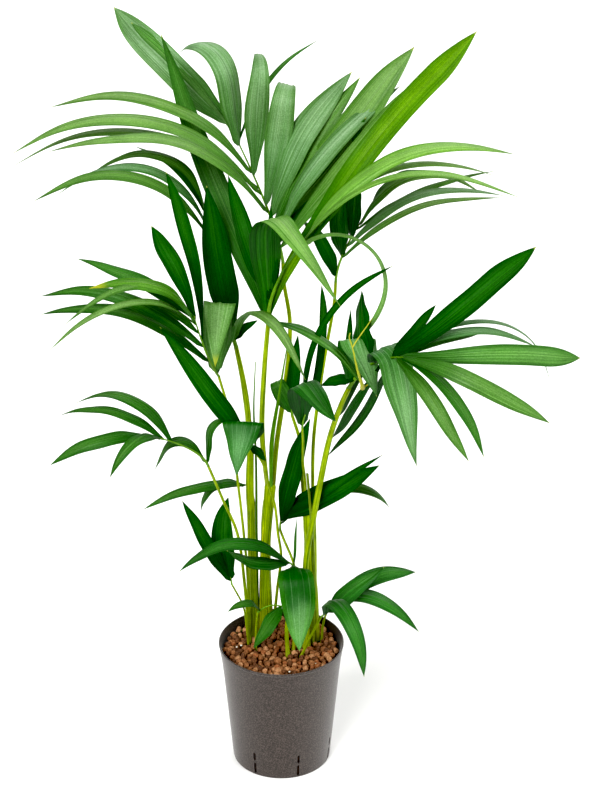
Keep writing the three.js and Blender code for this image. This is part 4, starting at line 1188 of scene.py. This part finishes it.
def all_materials():
    """Every material by the name of its tone."""
    veins, streaks, specks = blade_group(), streak_group(), speckle_group()
    made = {"floor": plain_floor()}
    for name, own in TONES.items():
        for side, suffix in (("upper", ""), ("under", "_under")):
            color = own[side]
            values = dict(blade_color=color, vein_color=own[side + "_veins"], groove_color=darker(color),
                          foot_color=own["foot"], **own["extras"])
            shader = {"Specular IOR Level": own["shine"]}
            made[name + suffix] = surface(f"leaf_{name}{suffix}", veins, values, shader, bump=0.0004)
    for name, (base, streak, foot) in LIMB_TONES.items():
        values = dict(base_color=base, streak_color=streak, foot_color=foot)
        made[name] = surface(name, streaks, values, {"Specular IOR Level": LIMB_SHINE})
    for name, (base, speck, scale, share, rough) in CLAY_TONES.items():
        values = dict(base_color=base, speck_color=speck, speck_scale=scale, speck_share=share)
        made[name] = surface(name, specks, values, {}, bump=0.0005, rough=rough)
    crumb = dict(base_color="#d8d4c8", speck_color="#f0eee6")
    made["crumb"] = surface("crumb", specks, crumb, {}, rough=0.8)
    made["pot"] = surface(
        "pot_plastic", specks,
        dict(base_color="#2a221e", speck_color="#564c46", speck_scale=560.0, speck_share=0.75,
             pore_color="#1b1512", cloud_strength=0.0),
        {"Sheen Weight": 0.34, "Sheen Roughness": 0.4}, rough=0.44)
    return made


# ---- Assembly ----


def build_plant():
    """Stems, stalks, spears, the dry thread and every frond with its rib."""
    rng = np.random.default_rng(SEED + 7)
    for name in STEMS:
        piece(f"stem_{name}", stem_patches(name, rng), [f"stem_{name}"])
    for name in STALKS:
        piece(f"stalk_{name}", [stalk_patch(name)], [f"stalk_{name}"])
    for name, spear in SPEARS.items():
        line = through(foot_of(spear["path"], spear["on"]), 5)
        tone = "old_stalk" if name.startswith("cut") else "spear"
        shape = shaft(line, evenly(spear["radii"], len(line)), tone, flutes=0.1, lobes=3, swirl=0.02)
        piece(name, [shape], [name])
    rng = np.random.default_rng(SEED)
    piece("low_leaf", [leaflet(LOW_LEAF, rng)])
    threads = []
    for thread in THREADS:
        line = through(thread["path"], 2)
        girth = evenly(thread["radii"], len(line))
        threads.append(shaft(line, girth, "thread", sides=8, flutes=0.25, swirl=0.4))
    piece("dry_thread", threads)
    for name, own in FRONDS.items():
        rib = rib_curve(own["midrib"])
        leaflets = [leaflet(dict(leaf, base=rib(leaf["at"])), rng)
                    for fan in own["fans"] for leaf in blades_of(fan)]
        piece(f"leaflets_{name}", leaflets, [f"frond_{name}"])
        piece(f"rib_{name}", [rib_patch(own)], [f"frond_{name}"])


def build_pot():
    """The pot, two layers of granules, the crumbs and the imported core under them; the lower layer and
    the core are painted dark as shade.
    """
    rng = np.random.default_rng(SEED + 1)
    pot_piece()
    made = {name: granule_layer(*layer, rng) for name, layer in LAYERS.items()}
    made["crumbs"] = [granule(np.array(place, float), CRUMB_SIZE, 1, "crumb", rng) for place in CRUMBS]
    low = POT["floor"] + CORE_GAP
    core = [(0, low), *((inner_radius(z) - CORE_GAP, z) for z in (low, CORE_TOP)), (0, CORE_TOP)]
    made["medium_core"] = [lathe(core, CORE_SIDES, "packed_clay")]
    for name, patches in made.items():
        piece(name, patches, ["growing_medium"])


def sun_light(name, towards, strength, softness):
    """A soft, even light that shines from a direction, the same over the whole floor."""
    data = bpy.data.lights.new(name, "SUN")
    data.energy, data.angle = strength, math.radians(softness)
    in_scene(name, data).rotation_euler = (-Vector(towards)).to_track_quat("-Z", "Y").to_euler()


def white_room():
    """A white room that is brightest at the height of the plant and dimmer overhead."""
    world = bpy.data.worlds.new("white room")
    world.use_nodes = True
    tree = world.node_tree
    height = put("SeparateXYZ", {0: place_in(tree, "Generated")}).outputs[2]
    background = tree.nodes["Background"].inputs
    tree.links.new(ramp(height, 0.0, 0.85, 0.35, 0.15), background["Strength"])
    background["Color"].default_value = (1, 1, 1, 1)
    bpy.context.scene.world = world


def build_studio():
    """A wide plain floor, a white room, three soft lights and the camera."""
    rings = np.array([[(FLOOR_RADIUS * math.cos(a), FLOOR_RADIUS * math.sin(a), z) for a in full_turn(64)]
                      for z in (-FLOOR_DEPTH, 0)])
    shape = tube(rings, "floor", (0, FLOOR_DEPTH))
    mesh = mesh_of("floor", shape["points"], shape["faces"])
    mesh.materials.append(MATERIALS["floor"])
    floor = in_scene("floor", mesh)
    white_room()
    for light in LIGHTS:
        sun_light(*light)
    lens = bpy.data.cameras.new("camera")
    lens.lens, lens.sensor_width = CAMERA["lens"], CAMERA["sensor"]
    camera = in_scene("camera", lens)
    camera.location = CAMERA["place"]
    camera.rotation_euler = (math.radians(90 - CAMERA["pitch"]), 0, 0)
    bpy.context.scene.camera = camera
    view = bpy.context.scene.view_settings
    view.view_transform, view.look = "Standard", "Medium High Contrast"
    view.use_curve_mapping = True
    view.curve_mapping.black_level = (BLACK_LEVEL,) * 3
    view.curve_mapping.update()


BALLS = [ball(level) for level in range(3)]
MATERIALS = all_materials()
build_pot()
build_plant()
build_studio()
